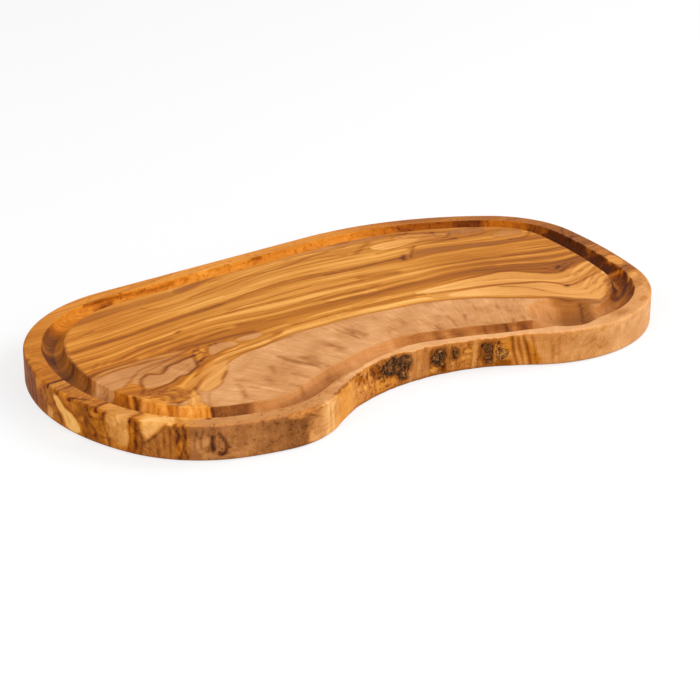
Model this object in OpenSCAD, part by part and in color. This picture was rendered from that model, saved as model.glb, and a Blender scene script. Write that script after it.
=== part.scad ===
// Serving board cut from one slab of olive wood, with a hollow front bay that keeps its bark edge,
// a juice groove along the rim and a round juice well.
// Millimetres. X runs along the board, Y to the back, Z up from the underside.

/* [Board] */

// Thickness of the slab
board_t = 20; // [14:0.5:40]

// Radius of the rounded upper and lower edges
edge_r = 2.5; // [1:0.25:5]

/* [Lobes of the outline] */

// Left lip of the bay, centre along the board
left_lip_x = -103; // [-115:0.5:-90]

// Left lip of the bay, centre across the board
left_lip_y = -57.5; // [-66:0.5:-50]

// Left lip of the bay, radius
left_lip_r = 51; // [42:0.5:58]

// Right lip of the bay, centre along the board
right_lip_x = 106; // [96:0.5:116]

// Right lip of the bay, centre across the board
right_lip_y = -28.5; // [-40:0.5:-20]

// Right lip of the bay, radius
right_lip_r = 78.5; // [68:0.5:86]

// Swell of the back edge, centre along the board
back_swell_x = 56; // [44:0.5:66]

// Swell of the back edge, centre across the board
back_swell_y = -82.5; // [-92:0.5:-74]

// Swell of the back edge, radius
back_swell_r = 195.5; // [185:0.5:205]

// Direction from the swell's centre in which it runs into the right back corner
right_back_turn = 55.5; // [48:0.5:64]

// Right back corner, radius
right_back_r = 59.5; // [48:0.5:70]

// Left back corner, centre along the board
left_back_x = -102.5; // [-112:0.5:-92]

// Left back corner, centre across the board
left_back_y = 12; // [4:0.5:20]

// Left back corner, radius
left_back_r = 90.5; // [82:0.5:98]

// Left front corner, centre along the board
left_front_x = -112.5; // [-120:0.5:-105]

// Left front corner, centre across the board
left_front_y = -29; // [-36:0.5:-22]

// Left front corner, radius
left_front_r = 77; // [70:0.5:83]

/* [Arcs between the lobes] */

// Radius of the hollow bay in the front edge
bay_r = 119; // [95:1:150]

// Radius of the right end
right_end_r = 347; // [150:1:500]

// Radius of the left end
left_end_r = 134; // [115:1:200]

// Radius of the front edge left of the left lip
front_left_r = 162; // [110:1:260]

/* [Juice groove] */

// Flat rim between the edge and the groove
rim_w = 10.5; // [6:0.25:16]

// Width of the groove at the top
groove_w = 12; // [8:0.25:16]

// Depth of the groove
groove_depth = 6; // [3:0.25:9]

// Rim between the bark edge and the groove in the bay
bay_rim_w = 5; // [4:0.25:12]

/* [Juice well] */

// Width of the well at the top
well_d = 42; // [28:1:56]

// Depth of the well
well_depth = 7; // [4:0.25:10]

// Rim left between the board's edge and the well
well_rim = 6.5; // [4:0.25:14]

// Direction of the well from the centre of the right lip, in degrees
well_turn = -100; // [-115:1:-80]

/* [Bark edge] */

// Rounding of the bark edge
bark_edge_r = 0.8; // [0.4:0.1:2]

// Length over which the sawn edge turns into the bark edge at each end of the bay
bark_edge_run = 26; // [12:1:40]

// Distance between the ridges of the bark edge
ridge_pitch = 11; // [7:0.5:18]

// Height of the ridges of the bark edge
ridge_h = 1.4; // [0.4:0.1:2]

// How far the wall leans in on the left of the bay and out on the right, at its top
wall_lean = 3; // [0:0.25:4]

// Depth of bark that sits in the wood
bark_seat = 3; // [2.8:0.1:4]

// Height by which the bark stands out of the wall
bark_proud = 0.8; // [0.2:0.1:2]

// Left patch of bark, place along the wall from the middle of the bay
bark_left_at = -17; // [-30:0.5:-8]

// Left patch of bark, length along the wall
bark_left_l = 28; // [16:0.5:32]

// Left patch of bark, height
bark_left_h = 12; // [6:0.5:13]

// Middle patch of bark, place along the wall
bark_middle_at = 14.5; // [6:0.5:16]

// Middle patch of bark, width along the wall
bark_middle_w = 9.5; // [5:0.5:11]

// Middle patch of bark, height
bark_middle_h = 12.5; // [11:0.5:13]

// Sliver of bark, place along the wall
bark_sliver_at = 24; // [22.5:0.5:34]

// Sliver of bark, width along the wall
bark_sliver_w = 2.5; // [1.5:0.5:4]

// Sliver of bark, height
bark_sliver_h = 6; // [4:0.5:12]

// Right patch of bark, place along the wall
bark_right_at = 44.5; // [36:0.5:45]

// Right patch of bark, width along the wall
bark_right_w = 7; // [4:0.5:8]

// Right patch of bark, height
bark_right_h = 10.5; // [8:0.5:13]

// End patch of bark, place along the wall
bark_end_at = 54; // [53.5:0.5:58]

// End patch of bark, width along the wall
bark_end_w = 9; // [5:0.5:10]

// End patch of bark, height
bark_end_h = 12; // [10:0.5:13]

// Height of the middle of the bark over the underside
bark_z = 10.5; // [9:0.5:12]

/* [Hidden] */

$fa = 3;
$fs = 0.8;

wood_color = [0.74, 0.49, 0.24];
bark_color = [0.25, 0.17, 0.11];

// Overshoot of a cut past the face that it opens
past = 1;

// Spacing of the sections along the edge, and along the bark edge
plain_step = 11;
bark_step = ridge_pitch / 4;

// Angles at which the rounded edges and the groove are drawn
round_steps = [0, 30, 60, 90];
groove_steps = [0 : 30 : 180];

function facing(a) = [cos(a), sin(a)];
function angle_of(v) = atan2(v.y, v.x);
function full_turn(a) = (a % 360 + 360) % 360;
function plan(l) = [l.x, l.y];

// Each lobe has its centre and its radius, counter-clockwise from the left of the bay.
// The right back corner lies inside the swell of the back edge and touches it.
right_back = [back_swell_x, back_swell_y] + (back_swell_r - right_back_r) * facing(right_back_turn);
lobes = [
    [left_lip_x, left_lip_y, left_lip_r],
    [right_lip_x, right_lip_y, right_lip_r],
    [right_back.x, right_back.y, right_back_r],
    [back_swell_x, back_swell_y, back_swell_r],
    [left_back_x, left_back_y, left_back_r],
    [left_front_x, left_front_y, left_front_r],
];

// What leads from each lobe to the next: kind and radius
joins = [
    ["hollow", bay_r],
    ["swell", right_end_r],
    ["touch", 0],
    ["straight", 0],
    ["swell", left_end_r],
    ["swell", front_left_r],
];

// Centre of the arc of radius r that touches lobes a and b, on their inner side or across the gap
function arc_centre(a, b, r, hollow) =
    let (
        to_a = hollow ? r + a.z : r - a.z,
        to_b = hollow ? r + b.z : r - b.z,
        between = plan(b) - plan(a),
        span = norm(between),
        ahead = between / span,
        left = [-ahead.y, ahead.x],
        m = (to_a * to_a - to_b * to_b + span * span) / (2 * span),
        h = sqrt(to_a * to_a - m * m)
    )
    plan(a) + ahead * m + left * (hollow ? -h : h);

// Direction that the straight edge touching lobes a and b faces
function straight_facing(a, b) =
    let (
        between = plan(b) - plan(a),
        span = norm(between),
        ahead = between / span,
        right = [ahead.y, -ahead.x],
        k = (a.z - b.z) / span
    )
    angle_of(ahead * k + right * sqrt(1 - k * k));

// Centre of the join, and the direction that the edge faces where it leaves a and where it meets b
function join_ends(a, b, join) =
    let (kind = join[0])
    kind == "touch" || kind == "straight"
        ? let (way = kind == "touch" ? angle_of(plan(a) - plan(b)) : straight_facing(a, b))
          [plan(a), way, way]
        : let (c = arc_centre(a, b, join[1], kind == "hollow"), side = kind == "hollow" ? -1 : 1)
          [c, angle_of(side * (plan(a) - c)), angle_of(side * (plan(b) - c))];

// Stretch that leads from lobe a to lobe b, if it has any length
function join_stretch(a, b, join, ends) =
    let (
        kind = join[0],
        first = plan(a) + a.z * facing(ends[1]),
        last = plan(b) + b.z * facing(ends[2])
    )
    kind == "touch" ? []
    : kind == "straight" ? [[kind, last, norm(last - first), ends[2], 0]]
    : kind == "hollow" ? [[kind, ends[0], join[1], ends[2] + 180, full_turn(ends[1] - ends[2])]]
    : [[kind, ends[0], join[1], ends[1], full_turn(ends[2] - ends[1])]];

// Stretches of the closed edge: kind, centre, radius, first direction from the centre and angle swept.
// A straight stretch has its last point, its length and the direction that it faces.
function edge_line(lobes, joins) =
    let (
        n = len(lobes),
        ends = [for (i = [0 : n - 1]) join_ends(lobes[i], lobes[(i + 1) % n], joins[i])]
    )
    [
        for (i = [0 : n - 1])
            let (l = lobes[i], from = ends[(i + n - 1) % n][2])
            each [
                ["swell", plan(l), l.z, from, full_turn(ends[i][1] - from)],
                each join_stretch(l, lobes[(i + 1) % n], joins[i], ends[i]),
            ]
    ];

outline = edge_line(lobes, joins);
bay = [for (s = outline) if (s[0] == "hollow") s][0];
bay_middle = bay[3] + bay[4] / 2;
bay_half = bay_r * bay[4] / 360 * PI;

function stretch_length(s) = s[0] == "straight" ? s[2] : s[2] * s[4] / 180 * PI;
function ease(x) = x <= 0 ? 0 : x >= 1 ? 1 : x * x * (3 - 2 * x);

// Section of the edge at part f of a stretch: place, direction that it faces, distance right of the bay's
// middle, and how far the edge is bark edge there
function section(s, f) =
    s[0] == "straight"
        ? [s[1] - (1 - f) * s[2] * facing(s[3] + 90), s[3], 0, 0]
        : s[0] == "swell"
        ? [s[1] + s[2] * facing(s[3] + f * s[4]), s[3] + f * s[4], 0, 0]
        : let (a = s[3] + (1 - f) * s[4], at = (bay_middle - a) / 180 * PI * s[2])
          [s[1] + s[2] * facing(a), a + 180, at, ease((bay_half - abs(at)) / bark_edge_run)];

sections = [
    for (s = outline)
        let (n = ceil(stretch_length(s) / (s[0] == "hollow" ? bark_step : plain_step)))
        for (k = [0 : n - 1])
            section(s, k / n)
];
section_count = len(sections);

// How far the board reaches in direction a
function reach(a) = max([for (c = sections) c[0] * facing(a)]);

// Moves the middle of the board's box to the origin
to_middle = [(reach(180) - reach(0)) / 2, (reach(270) - reach(90)) / 2];

// Lean of the wall of the bay at its top, and the hollows between its ridges, uneven in place and depth
function lean(at) = wall_lean * sin(180 * at / bay_half);
function hollow_depth(at) =
    ridge_h * (0.5 + 0.5 * cos(360 * at / ridge_pitch + 70 * sin(7 * at))) * (0.7 + 0.3 * sin(5 * at));

// Point of a section, d inside the edge at height z, with the share of the ridges that it takes
function edge_point(c, d, z, ridges) =
    let (shift = c[3] * (lean(c[2]) * z / board_t - ridges * hollow_depth(c[2])))
    let (p = c[0] + (shift - d) * facing(c[1]))
    [p.x, p.y, z];

// The whole profile of a section from the underside round the edge and through the groove
function profile(c) =
    let (
        r = edge_r + (bark_edge_r - edge_r) * c[3],
        rim = rim_w + (bay_rim_w - rim_w) * c[3]
    )
    [
        for (a = round_steps) edge_point(c, r * (1 - sin(a)), r * (1 - cos(a)), 1),
        for (a = round_steps) edge_point(c, r * (1 - cos(a)), board_t - r * (1 - sin(a)), 1),
        for (a = groove_steps)
            edge_point(c, rim + groove_w / 2 * (1 - cos(a)), board_t - groove_depth * sin(a), 0),
    ];

// Place from which the whole edge is seen, for the flat underside and the flat top
heart = (plan(lobes[2]) + plan(lobes[3]) + plan(lobes[4])) / 3;

// The slab as one skin: each section's profile, joined to the next, and the two flats
module grooved_board() {
    rows = [for (c = sections) profile(c)];
    row_len = len(rows[0]);
    count = section_count * row_len;
    points = [
        for (r = rows) each r,
        [heart.x, heart.y, 0],
        [heart.x, heart.y, board_t],
    ];
    faces = [
        for (i = [0 : section_count - 1])
            let (a = i * row_len, b = (i + 1) % section_count * row_len)
            each [
                for (j = [0 : row_len - 2])
                    each [[a + j, a + j + 1, b + j + 1], [a + j, b + j + 1, b + j]],
                [count, a, b],
                [count + 1, b + row_len - 1, a + row_len - 1],
            ]
    ];
    polyhedron(points, faces);
}

well_at = plan(lobes[1]) + (right_lip_r - well_rim - well_d / 2) * facing(well_turn);
well_ball_r = (well_d * well_d / 4 + well_depth * well_depth) / (2 * well_depth);

module juice_well() {
    translate([well_at.x, well_at.y, board_t - well_depth + well_ball_r])
        sphere(well_ball_r);
}

// Direction from the bay's centre to a place on its wall, in millimetres right of the middle
function wall_turn(at) = bay_middle - at / bay_r * 180 / PI;

// Radius of the wall behind a piece of bark, at the bark's height
function wall_r(at) = bay_r - lean(at) * bark_z / board_t;

// Rounded window seen from the bay's centre, w wide along the wall and h high
module bark_window(at, w, h) {
    round_r = min(w, h) / 2;
    dx = w / 2 - round_r;
    dz = h / 2 - round_r;
    translate([bay[1].x, bay[1].y, bark_z])
        rotate([0, 0, wall_turn(at) + 90])
            rotate([90, 0, 0])
                linear_extrude(wall_r(at) + bark_seat + past) {
                    if (dx > 0)
                        square([2 * dx, h], center = true);
                    if (dz > 0)
                        square([w, 2 * dz], center = true);
                    for (k = [-1, 1])
                        translate([k * dx, k * dz])
                            circle(round_r);
                }
}

// Piece of bark between its seat in the wood and its outer face
module bark(at, w, h, proud) {
    intersection() {
        bark_window(at, w, h);
        translate([bay[1].x, bay[1].y, 0])
            rotate([0, 0, bay[3]])
                rotate_extrude(angle = bay[4])
                    translate([wall_r(at) - proud, 0])
                        square([bark_seat + proud, board_t]);
    }
}

module bark_seats() {
    bark(bark_left_at, bark_left_l, bark_left_h, past);
    bark(bark_middle_at, bark_middle_w, bark_middle_h, past);
    bark(bark_sliver_at, bark_sliver_w, bark_sliver_h, past);
    bark(bark_right_at, bark_right_w, bark_right_h, past);
    bark(bark_end_at, bark_end_w, bark_end_h, past);
}

module board_slab() {
    color(wood_color)
        translate(to_middle)
            difference() {
                grooved_board();
                juice_well();
                bark_seats();
            }
}

module bark_left() {
    color(bark_color)
        translate(to_middle)
            bark(bark_left_at, bark_left_l, bark_left_h, bark_proud);
}

module bark_middle() {
    color(bark_color)
        translate(to_middle)
            bark(bark_middle_at, bark_middle_w, bark_middle_h, bark_proud);
}

module bark_sliver() {
    color(bark_color)
        translate(to_middle)
            bark(bark_sliver_at, bark_sliver_w, bark_sliver_h, bark_proud);
}

module bark_right() {
    color(bark_color)
        translate(to_middle)
            bark(bark_right_at, bark_right_w, bark_right_h, bark_proud);
}

module bark_end() {
    color(bark_color)
        translate(to_middle)
            bark(bark_end_at, bark_end_w, bark_end_h, bark_proud);
}

board_slab();
bark_left();
bark_middle();
bark_sliver();
bark_right();
bark_end();
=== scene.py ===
import math

import bpy
import numpy as np
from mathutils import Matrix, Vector


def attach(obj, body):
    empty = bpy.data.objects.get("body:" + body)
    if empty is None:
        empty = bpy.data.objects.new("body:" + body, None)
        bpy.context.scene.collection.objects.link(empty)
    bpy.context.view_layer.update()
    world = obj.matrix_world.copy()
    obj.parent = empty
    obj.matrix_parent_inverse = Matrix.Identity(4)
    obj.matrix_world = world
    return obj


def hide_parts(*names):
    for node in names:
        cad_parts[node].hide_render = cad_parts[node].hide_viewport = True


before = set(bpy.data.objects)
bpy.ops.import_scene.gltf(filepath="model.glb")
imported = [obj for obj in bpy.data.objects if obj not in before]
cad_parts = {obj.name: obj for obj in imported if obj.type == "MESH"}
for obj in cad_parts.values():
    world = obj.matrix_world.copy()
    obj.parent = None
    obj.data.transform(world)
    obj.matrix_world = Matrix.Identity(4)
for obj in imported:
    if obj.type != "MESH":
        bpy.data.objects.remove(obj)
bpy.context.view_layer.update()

MM = 0.001
scene = bpy.context.scene

# Sizes of the board in millimetres, as in the part's source, except that the edges are crisper here
BOARD_T = 20.0
EDGE_R, LIVE_EDGE_R = 1.7, 0.8
GROOVE_R, LIP_R = 6.0, 0.6
LIVE_RUN = 26.0
WELL_D, WELL_DEPTH, WELL_RIM, WELL_TURN = 42.0, 7.0, 6.5, -100.0
BAY_R, RIGHT_END_R, LEFT_END_R, FRONT_LEFT_R = 119.0, 347.0, 134.0, 162.0
SWELL = (56.0, -82.5, 195.5)
RIGHT_BACK_TURN, RIGHT_BACK_R = 55.5, 59.5

# Steps of the mesh along the edge, and the place given to what lies outside the bay
STEP, BAY_STEP = 1.15, 0.6
OFF_BAY = 999.0


def facing(degrees):
    """Unit vectors at angles from +X."""
    a = np.radians(degrees)
    return np.stack([np.cos(a), np.sin(a)], -1)


def angle_of(v):
    return math.degrees(math.atan2(v[1], v[0]))


def ease(x):
    x = np.clip(x, 0.0, 1.0)
    return x * x * (3 - 2 * x)


def soft(v, a, b):
    """0 at a, 1 at b, and eased between them."""
    return ease((v - a) / (b - a))


def rows_of(text):
    """Numbers of a table written as "1 2, 3 4": one row for each comma."""
    return np.array([row.split() for row in text.split(",")], float)


# Outline: six round lobes (x, y, radius) joined by touching arcs, counter-clockwise from the left of the bay

def plan(lobe):
    return np.array(lobe[:2], float)


# Centre of the lobe at the back right, which touches the swell from inside
right_back = plan(SWELL) + (SWELL[2] - RIGHT_BACK_R) * facing(RIGHT_BACK_TURN)
LOBES = [
    (-103.0, -57.5, 51.0),
    (106.0, -28.5, 78.5),
    (right_back[0], right_back[1], RIGHT_BACK_R),
    SWELL,
    (-102.5, 12.0, 90.5),
    (-112.5, -29.0, 77.0),
]
JOINS = [
    ("hollow", BAY_R),
    ("swell", RIGHT_END_R),
    ("touch", 0.0),
    ("straight", 0.0),
    ("swell", LEFT_END_R),
    ("swell", FRONT_LEFT_R),
]


def heading(a, b):
    """Unit vector from one lobe's centre to another's, and their distance."""
    between = plan(b) - plan(a)
    span = np.linalg.norm(between)
    return between / span, span


def arc_centre(a, b, r, hollow):
    """Centre of the arc of radius r that touches two lobes."""
    to_a, to_b = (r + a[2], r + b[2]) if hollow else (r - a[2], r - b[2])
    ahead, span = heading(a, b)
    left = np.array([-ahead[1], ahead[0]])
    m = (to_a ** 2 - to_b ** 2 + span ** 2) / (2 * span)
    h = math.sqrt(to_a ** 2 - m ** 2)
    return plan(a) + ahead * m + left * (-h if hollow else h)


def join_ends(a, b, kind, r):
    """Centre of the arc that joins two lobes, if any, and the angles at which it leaves and meets them."""
    if kind == "touch":
        way = angle_of(plan(a) - plan(b))
        return None, way, way
    if kind == "straight":
        ahead, span = heading(a, b)
        right = np.array([ahead[1], -ahead[0]])
        k = (a[2] - b[2]) / span
        way = angle_of(ahead * k + right * math.sqrt(1 - k * k))
        return None, way, way
    centre = arc_centre(a, b, r, kind == "hollow")
    side = -1 if kind == "hollow" else 1
    return centre, angle_of(side * (plan(a) - centre)), angle_of(side * (plan(b) - centre))


def arc(centre, r, start, sweep):
    """Places and facings along an arc, up to its last point."""
    k = np.arange(max(1, math.ceil(r * math.radians(sweep) / STEP)))
    face = facing(start + sweep * k / len(k))
    return centre + r * face, face


def outline():
    """Stations along the edge: place, outward facing, mm right of the bay's middle, share of live edge.

    The bay's centre, turn and half length and the well's centre follow.
    """
    stations = []

    def put(places, faces, away=OFF_BAY, share=0.0):
        none = np.zeros(len(places))
        stations.append((places, faces, none + away, none + share))

    n = len(LOBES)
    ends = [join_ends(LOBES[i], LOBES[(i + 1) % n], *JOINS[i]) for i in range(n)]
    for i, lobe in enumerate(LOBES):
        start = ends[i - 1][2]
        centre, first, last = ends[i]
        put(*arc(plan(lobe), lobe[2], start, (first - start) % 360))
        kind, r = JOINS[i]
        if kind == "straight":
            after = LOBES[(i + 1) % n]
            a = plan(lobe) + lobe[2] * facing(first)
            b = plan(after) + after[2] * facing(last)
            k = np.arange(math.ceil(np.linalg.norm(b - a) / STEP))
            put(a + (b - a) * (k / len(k))[:, None], facing(first + 0 * k))
        elif kind == "swell":
            put(*arc(centre, r, first, (last - first) % 360))
        elif kind == "hollow":
            sweep = (first - last) % 360
            half = r * math.radians(sweep) / 2
            k = np.arange(math.ceil(2 * half / BAY_STEP))
            turn = last + 180 + sweep * (1 - k / len(k))
            away = half * (2 * k / len(k) - 1)
            put(centre + r * facing(turn), facing(turn + 180), away, ease((half - np.abs(away)) / LIVE_RUN))
            bay_centre, bay_turn, bay_half = centre, last + 180 + sweep / 2, half
    place, face, at, live = (np.concatenate(column) for column in zip(*stations))
    middle = (place.min(0) + place.max(0)) / 2
    well = plan(LOBES[1]) + (LOBES[1][2] - WELL_RIM - WELL_D / 2) * facing(WELL_TURN)
    return place - middle, face, at, live, bay_centre - middle, bay_turn, bay_half, well - middle


# Smooth seeded noise, 0 to 1, on lattice cells

HASH_SIZE = 8192
HASH = np.random.default_rng(11).random(HASH_SIZE)
HASH_PRIMES = np.array([73856093, 19349663, 83492791])


def noise(p, seed=0):
    p = np.asarray(p, float)
    cell = np.floor(p).astype(np.int64)
    f = ease(p - cell)
    total = 0
    for corner in np.ndindex(2, 2, 2):
        key = np.bitwise_xor.reduce((cell + corner + (0, 0, seed)) * HASH_PRIMES, axis=-1)
        share = np.where(corner, f, 1 - f).prod(-1)
        total = total + share * HASH[key & (HASH_SIZE - 1)]
    return total


def rough(p, seed=0, octaves=3):
    """Noise with finer and weaker noise added to it."""
    p = np.asarray(p, float)
    total, amount, scale = 0, 0.5, 1.0
    for k in range(octaves):
        total = total + amount * noise(p * scale, seed + 17 * k)
        amount, scale = amount / 2, scale * 2.1
    return total / (1 - 0.5 ** octaves)


def sheet(u, v):
    """Points of the noise on a flat sheet."""
    return np.stack([u, v, 0 * u], -1)


# The live edge by mm right of the bay's middle: how far its top stands out, the rim's width, its crumbs

LIVE_TOP = rows_of(
    "-76 0, -55 -1.1, -45 -2.8, -38 -2.1, -24 -2.4, -11 -2.5, -2 1.5, 7 -.4, 13 2.2, 18 1.8, 30 3.6, "
    "38 2.6, 53 4, 66 2.5, 78 0")
RIM_IN = rows_of(
    "-104 10.5, -88 10.4, -74 9.7, -62 8.4, -49 7.2, -38 5.8, -23 6.3, -11 6.8, 1 7.3, 11 6.3, 22 4.2, "
    "35 3.2, 50 2.6, 60 3.6, 68 5.6, 75 7.3, 83 9, 92 10.2, 104 10.5")
CRUMBS = rows_of(
    "-76 0, -56 .1, -49 .6, -30 .9, -4 .8, -1 .1, 4 .5, 8 .1, 11 .8, 20 .8, 24 .7, 35 .8, 37 .1, 40 .8, "
    "57 .9, 62 .2, 72 0")


def along_bay(table, at):
    return np.interp(at, *table.T)


def live_relief(at, z):
    """Upright ridges and fibres of the live wall, mm into the wood."""
    u = at + 1.5 * rough(sheet(at / 9, z / 12), 3)
    ridge = 1 - np.abs(2 * noise(sheet(u / 4.6, z / 26), 5) - 1)
    fibre = rough(sheet(u / 1.7, z / 14), 7)
    lump = rough(sheet(at / 7, z / 6), 9)
    crumb = rough(sheet(at / 2.6, z / 2.3), 13)
    relief = 1.1 * ridge ** 1.5 + 0.6 * fibre + 0.8 * lump - 1.1 + 2.2 * along_bay(CRUMBS, at) * (crumb - 0.5)
    return relief * (0.25 + 0.75 * ease((z - 0.5) / 6))


def live_wall(at, z, live):
    """How far inside the outline the wall lies at height z: it leans out to its ragged top."""
    k = z / BOARD_T
    return live * (1.2 * (1 - k) - along_bay(LIVE_TOP, at) * k + live_relief(at, z))


place, face, at, live, bay_centre, bay_turn, bay_half, well = outline()
N = len(place)

# Distance along the edge from the left end, mm, growing towards the front
gap = np.hypot(*(np.roll(place, -1, 0) - place).T)
lap = gap.sum()
edge_at = np.cumsum(gap) - gap
edge_at = (edge_at - edge_at[np.argmin(place[:, 0])] + lap / 2) % lap - lap / 2
bay_mid = edge_at[np.argmin(np.abs(at))]

# The slab: rings of points from the underside's middle, up the wall, over the rim and to the top's middle

UNDERSIDE, FOOT, WALL, TOP_EDGE, ON_RIM, GROOVE_OUT, GROOVE_IN, PLATEAU = range(8)
MIDDLE = np.array([12.0, 2.0])
# Rings in each rounding, wall, rim and half groove, and where the wall is read beside a rounding
FOOT_RINGS, WALL_RINGS, EDGE_RINGS, RIM_RINGS, LIP_RINGS, BOWL_RINGS = 6, 18, 7, 8, 5, 8
NEAR_EDGE = 0.5
# Shares of the way to the middle at which the flat faces have rings
UNDER_SHARES = (0.95, 0.84, 0.7, 0.56, 0.42, 0.3, 0.2, 0.12, 0.06, 0.02)
TOP_SHARES = np.concatenate([np.linspace(0.008, 0.6, 76), np.linspace(0.62, 0.97, 20)])
# How soon the live edge gets its crisp rounding, and the width over which the well's lip is blended
CRISP_RATE = 2.2
WELL_BLEND = 0.8

rings = []
zone_of_ring = []


def ring(kind, d, z):
    """A ring at d mm inside the outline and height z."""
    flat = place - (np.ones(N) * d)[:, None] * face
    rings.append(np.column_stack([flat, np.ones(N) * z]))
    zone_of_ring.append(kind)


def shrunk(outer, share):
    """A ring drawn in towards the middle by a share of the way."""
    inner = outer.copy()
    inner[:, :2] += (MIDDLE - outer[:, :2]) * share
    return inner


def wall_in(z):
    return live_wall(at, np.ones(N) * z, live)


edge_r = EDGE_R + (LIVE_EDGE_R - EDGE_R) * ease(CRISP_RATE * live)
for a in np.radians(np.linspace(0, 90, FOOT_RINGS)):
    ring(FOOT, wall_in(NEAR_EDGE) + edge_r * (1 - math.sin(a)), edge_r * (1 - math.cos(a)))
for k in np.linspace(0, 1, WALL_RINGS + 2)[1:-1]:
    height = edge_r + (BOARD_T - 2 * edge_r) * k
    ring(WALL, wall_in(height), height)
top_in = wall_in(BOARD_T - NEAR_EDGE)
for a in np.radians(np.linspace(0, 90, EDGE_RINGS)):
    ring(TOP_EDGE, top_in + edge_r * (1 - math.cos(a)), BOARD_T - edge_r * (1 - math.sin(a)))
groove_mid = along_bay(RIM_IN, edge_at - bay_mid) + GROOVE_R
lip_run = math.sqrt(GROOVE_R ** 2 + 2 * GROOVE_R * LIP_R)
rim_from, rim_to = top_in + edge_r, groove_mid - lip_run
for k in np.linspace(0, 1, RIM_RINGS + 1)[1:]:
    ring(ON_RIM, rim_from + (rim_to - rim_from) * k, BOARD_T)
lip_turn = math.asin(LIP_R / (GROOVE_R + LIP_R))
groove = [(lip_run - LIP_R * math.cos(a), LIP_R - LIP_R * math.sin(a))
          for a in np.linspace(math.pi / 2, lip_turn, LIP_RINGS + 1)[1:]]
groove += [(GROOVE_R * math.cos(a), GROOVE_R * math.sin(a))
           for a in np.linspace(lip_turn, math.pi / 2, BOWL_RINGS + 1)[1:]]
for d, depth in groove:
    ring(GROOVE_OUT, groove_mid - d, BOARD_T - depth)
for d, depth in groove[-2::-1] + [(lip_run, 0.0)]:
    ring(GROOVE_IN, groove_mid + d, BOARD_T - depth)

under = [shrunk(rings[0], share) for share in UNDER_SHARES]
plateau = [shrunk(rings[-1], share) for share in TOP_SHARES]
points = np.array(under + rings + plateau)
zone_of_ring = [UNDERSIDE] * len(under) + zone_of_ring + [PLATEAU] * len(plateau)

# The well is part of a ball, and its lip is blended into the groove and the top
ball_r = (WELL_D ** 2 / 4 + WELL_DEPTH ** 2) / (2 * WELL_DEPTH)
away = np.minimum(np.hypot(*(points[..., :2] - well).transpose(2, 0, 1)), ball_r)
dish = BOARD_T - WELL_DEPTH + ball_r - np.sqrt(ball_r ** 2 - away ** 2)
blend = np.maximum(WELL_BLEND - np.abs(points[..., 2] - dish), 0) / WELL_BLEND
points[..., 2] = np.minimum(points[..., 2], dish) - blend ** 2 * WELL_BLEND / 4

R = len(points)
verts = np.concatenate([points.reshape(-1, 3), [[*MIDDLE, 0.0]], [[*MIDDLE, BOARD_T]]])
j = np.arange(N)
jn = (j + 1) % N
low = np.arange(R - 1)[:, None] * N
quads = np.stack([low + j, low + jn, low + N + jn, low + N + j], -1).reshape(-1, 4)
fan_low = np.column_stack([np.full(N, R * N), jn, j])
fan_high = np.column_stack([np.full(N, R * N + 1), (R - 1) * N + j, (R - 1) * N + jn])


def make_mesh(name, verts, faces):
    mesh = bpy.data.meshes.new(name)
    mesh.from_pydata((np.asarray(verts) * MM).tolist(), [], faces)
    mesh.validate()
    mesh.shade_smooth()
    obj = bpy.data.objects.new(name, mesh)
    scene.collection.objects.link(obj)
    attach(obj, "root")
    return obj


board = make_mesh("olive_slab", verts, quads.tolist() + fan_low.tolist() + fan_high.tolist())
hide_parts("board_slab")


# Fields of the wood over the whole slab, in millimetres, which its material reads as attributes

def by_station(values, middle):
    """A value of every station for all points of the slab, with one for the two middle points."""
    return np.concatenate([np.tile(values, R), [middle, middle]])


zone = np.concatenate([np.repeat(zone_of_ring, N), [UNDERSIDE, PLATEAU]])
bay_at = by_station(at, OFF_BAY)
live_share = by_station(live, 0.0)
s_at = by_station(edge_at, 0.0)
x, y, z = verts.T
deep = BOARD_T - z

# Grain lines on the top by the place where each crosses x = 0
GRAIN = {
    86: "-142 62, -117 67, -95 69, -70 72, -50 78, -37 82, -20 85, 0 86, 25 88, 50 86, 70 84, 90 82, "
        "110 74, 130 64",
    72: "-150 50, -45 62, -25 67, 0 72, 30 73, 60 70",
    49: "-165 27, -150 29, -125 32, -100 37, -75 40, -50 44, -25 47, 0 49, 25 47, 50 45, 72 43, 100 44, "
        "125 38, 150 31, 168 27",
    36: "-149 19, -125 24, -100 29, -75 33, -50 35, 0 36, 25 34, 50 31, 75 28, 100 24, 125 18, 150 12, "
        "165 8, 175 7",
    8: "-165 -3, -137 1, -125 5, -100 9, -82 12, -62 10, -40 8, 0 8, 50 8, 80 8, 100 5, 120 -2, 140 -10, "
       "150 -13, 160 -13.5, 175 -13",
    -3: "-100 -4, -60 -5, 0 -3, 25 -4, 50 -6, 75 -9, 100 -14, 115 -21, 127 -30, 135 -33, 150 -26.5, "
        "160 -24, 172 -23",
    -13: "-132 -47, -117 -36, -105 -29, -95 -24, -75 -20, -55 -16, -25 -13, 0 -13, 25 -15, 50 -19, "
         "75 -26, 95 -35, 108 -45, 120 -58, 130 -68, 145 -58, 160 -46",
    -19: "-137 -57, -125 -48, -105 -37, -95 -31, -80 -26, -60 -22, -50 -20, -25 -20, 0 -19, 20 -21, "
         "40 -23, 55 -28, 75 -37, 87 -46, 100 -55, 110 -61, 117 -70",
    -64: "-100 -92, -75 -83, -50 -73, -25 -67, 0 -64, 25 -67, 50 -74, 75 -86",
}

# How far the grain slants with depth, how loosely the lines are followed, and points worked out at a time
SLANT = 0.35
GRAIN_SMOOTHING = 40.0
GRAIN_BATCH = 20000
grain_lines = {level: rows_of(text) for level, text in GRAIN.items()}
guide = np.concatenate(list(grain_lines.values()))
guide_level = np.concatenate([np.full(len(line), level) for level, line in grain_lines.items()])


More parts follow.
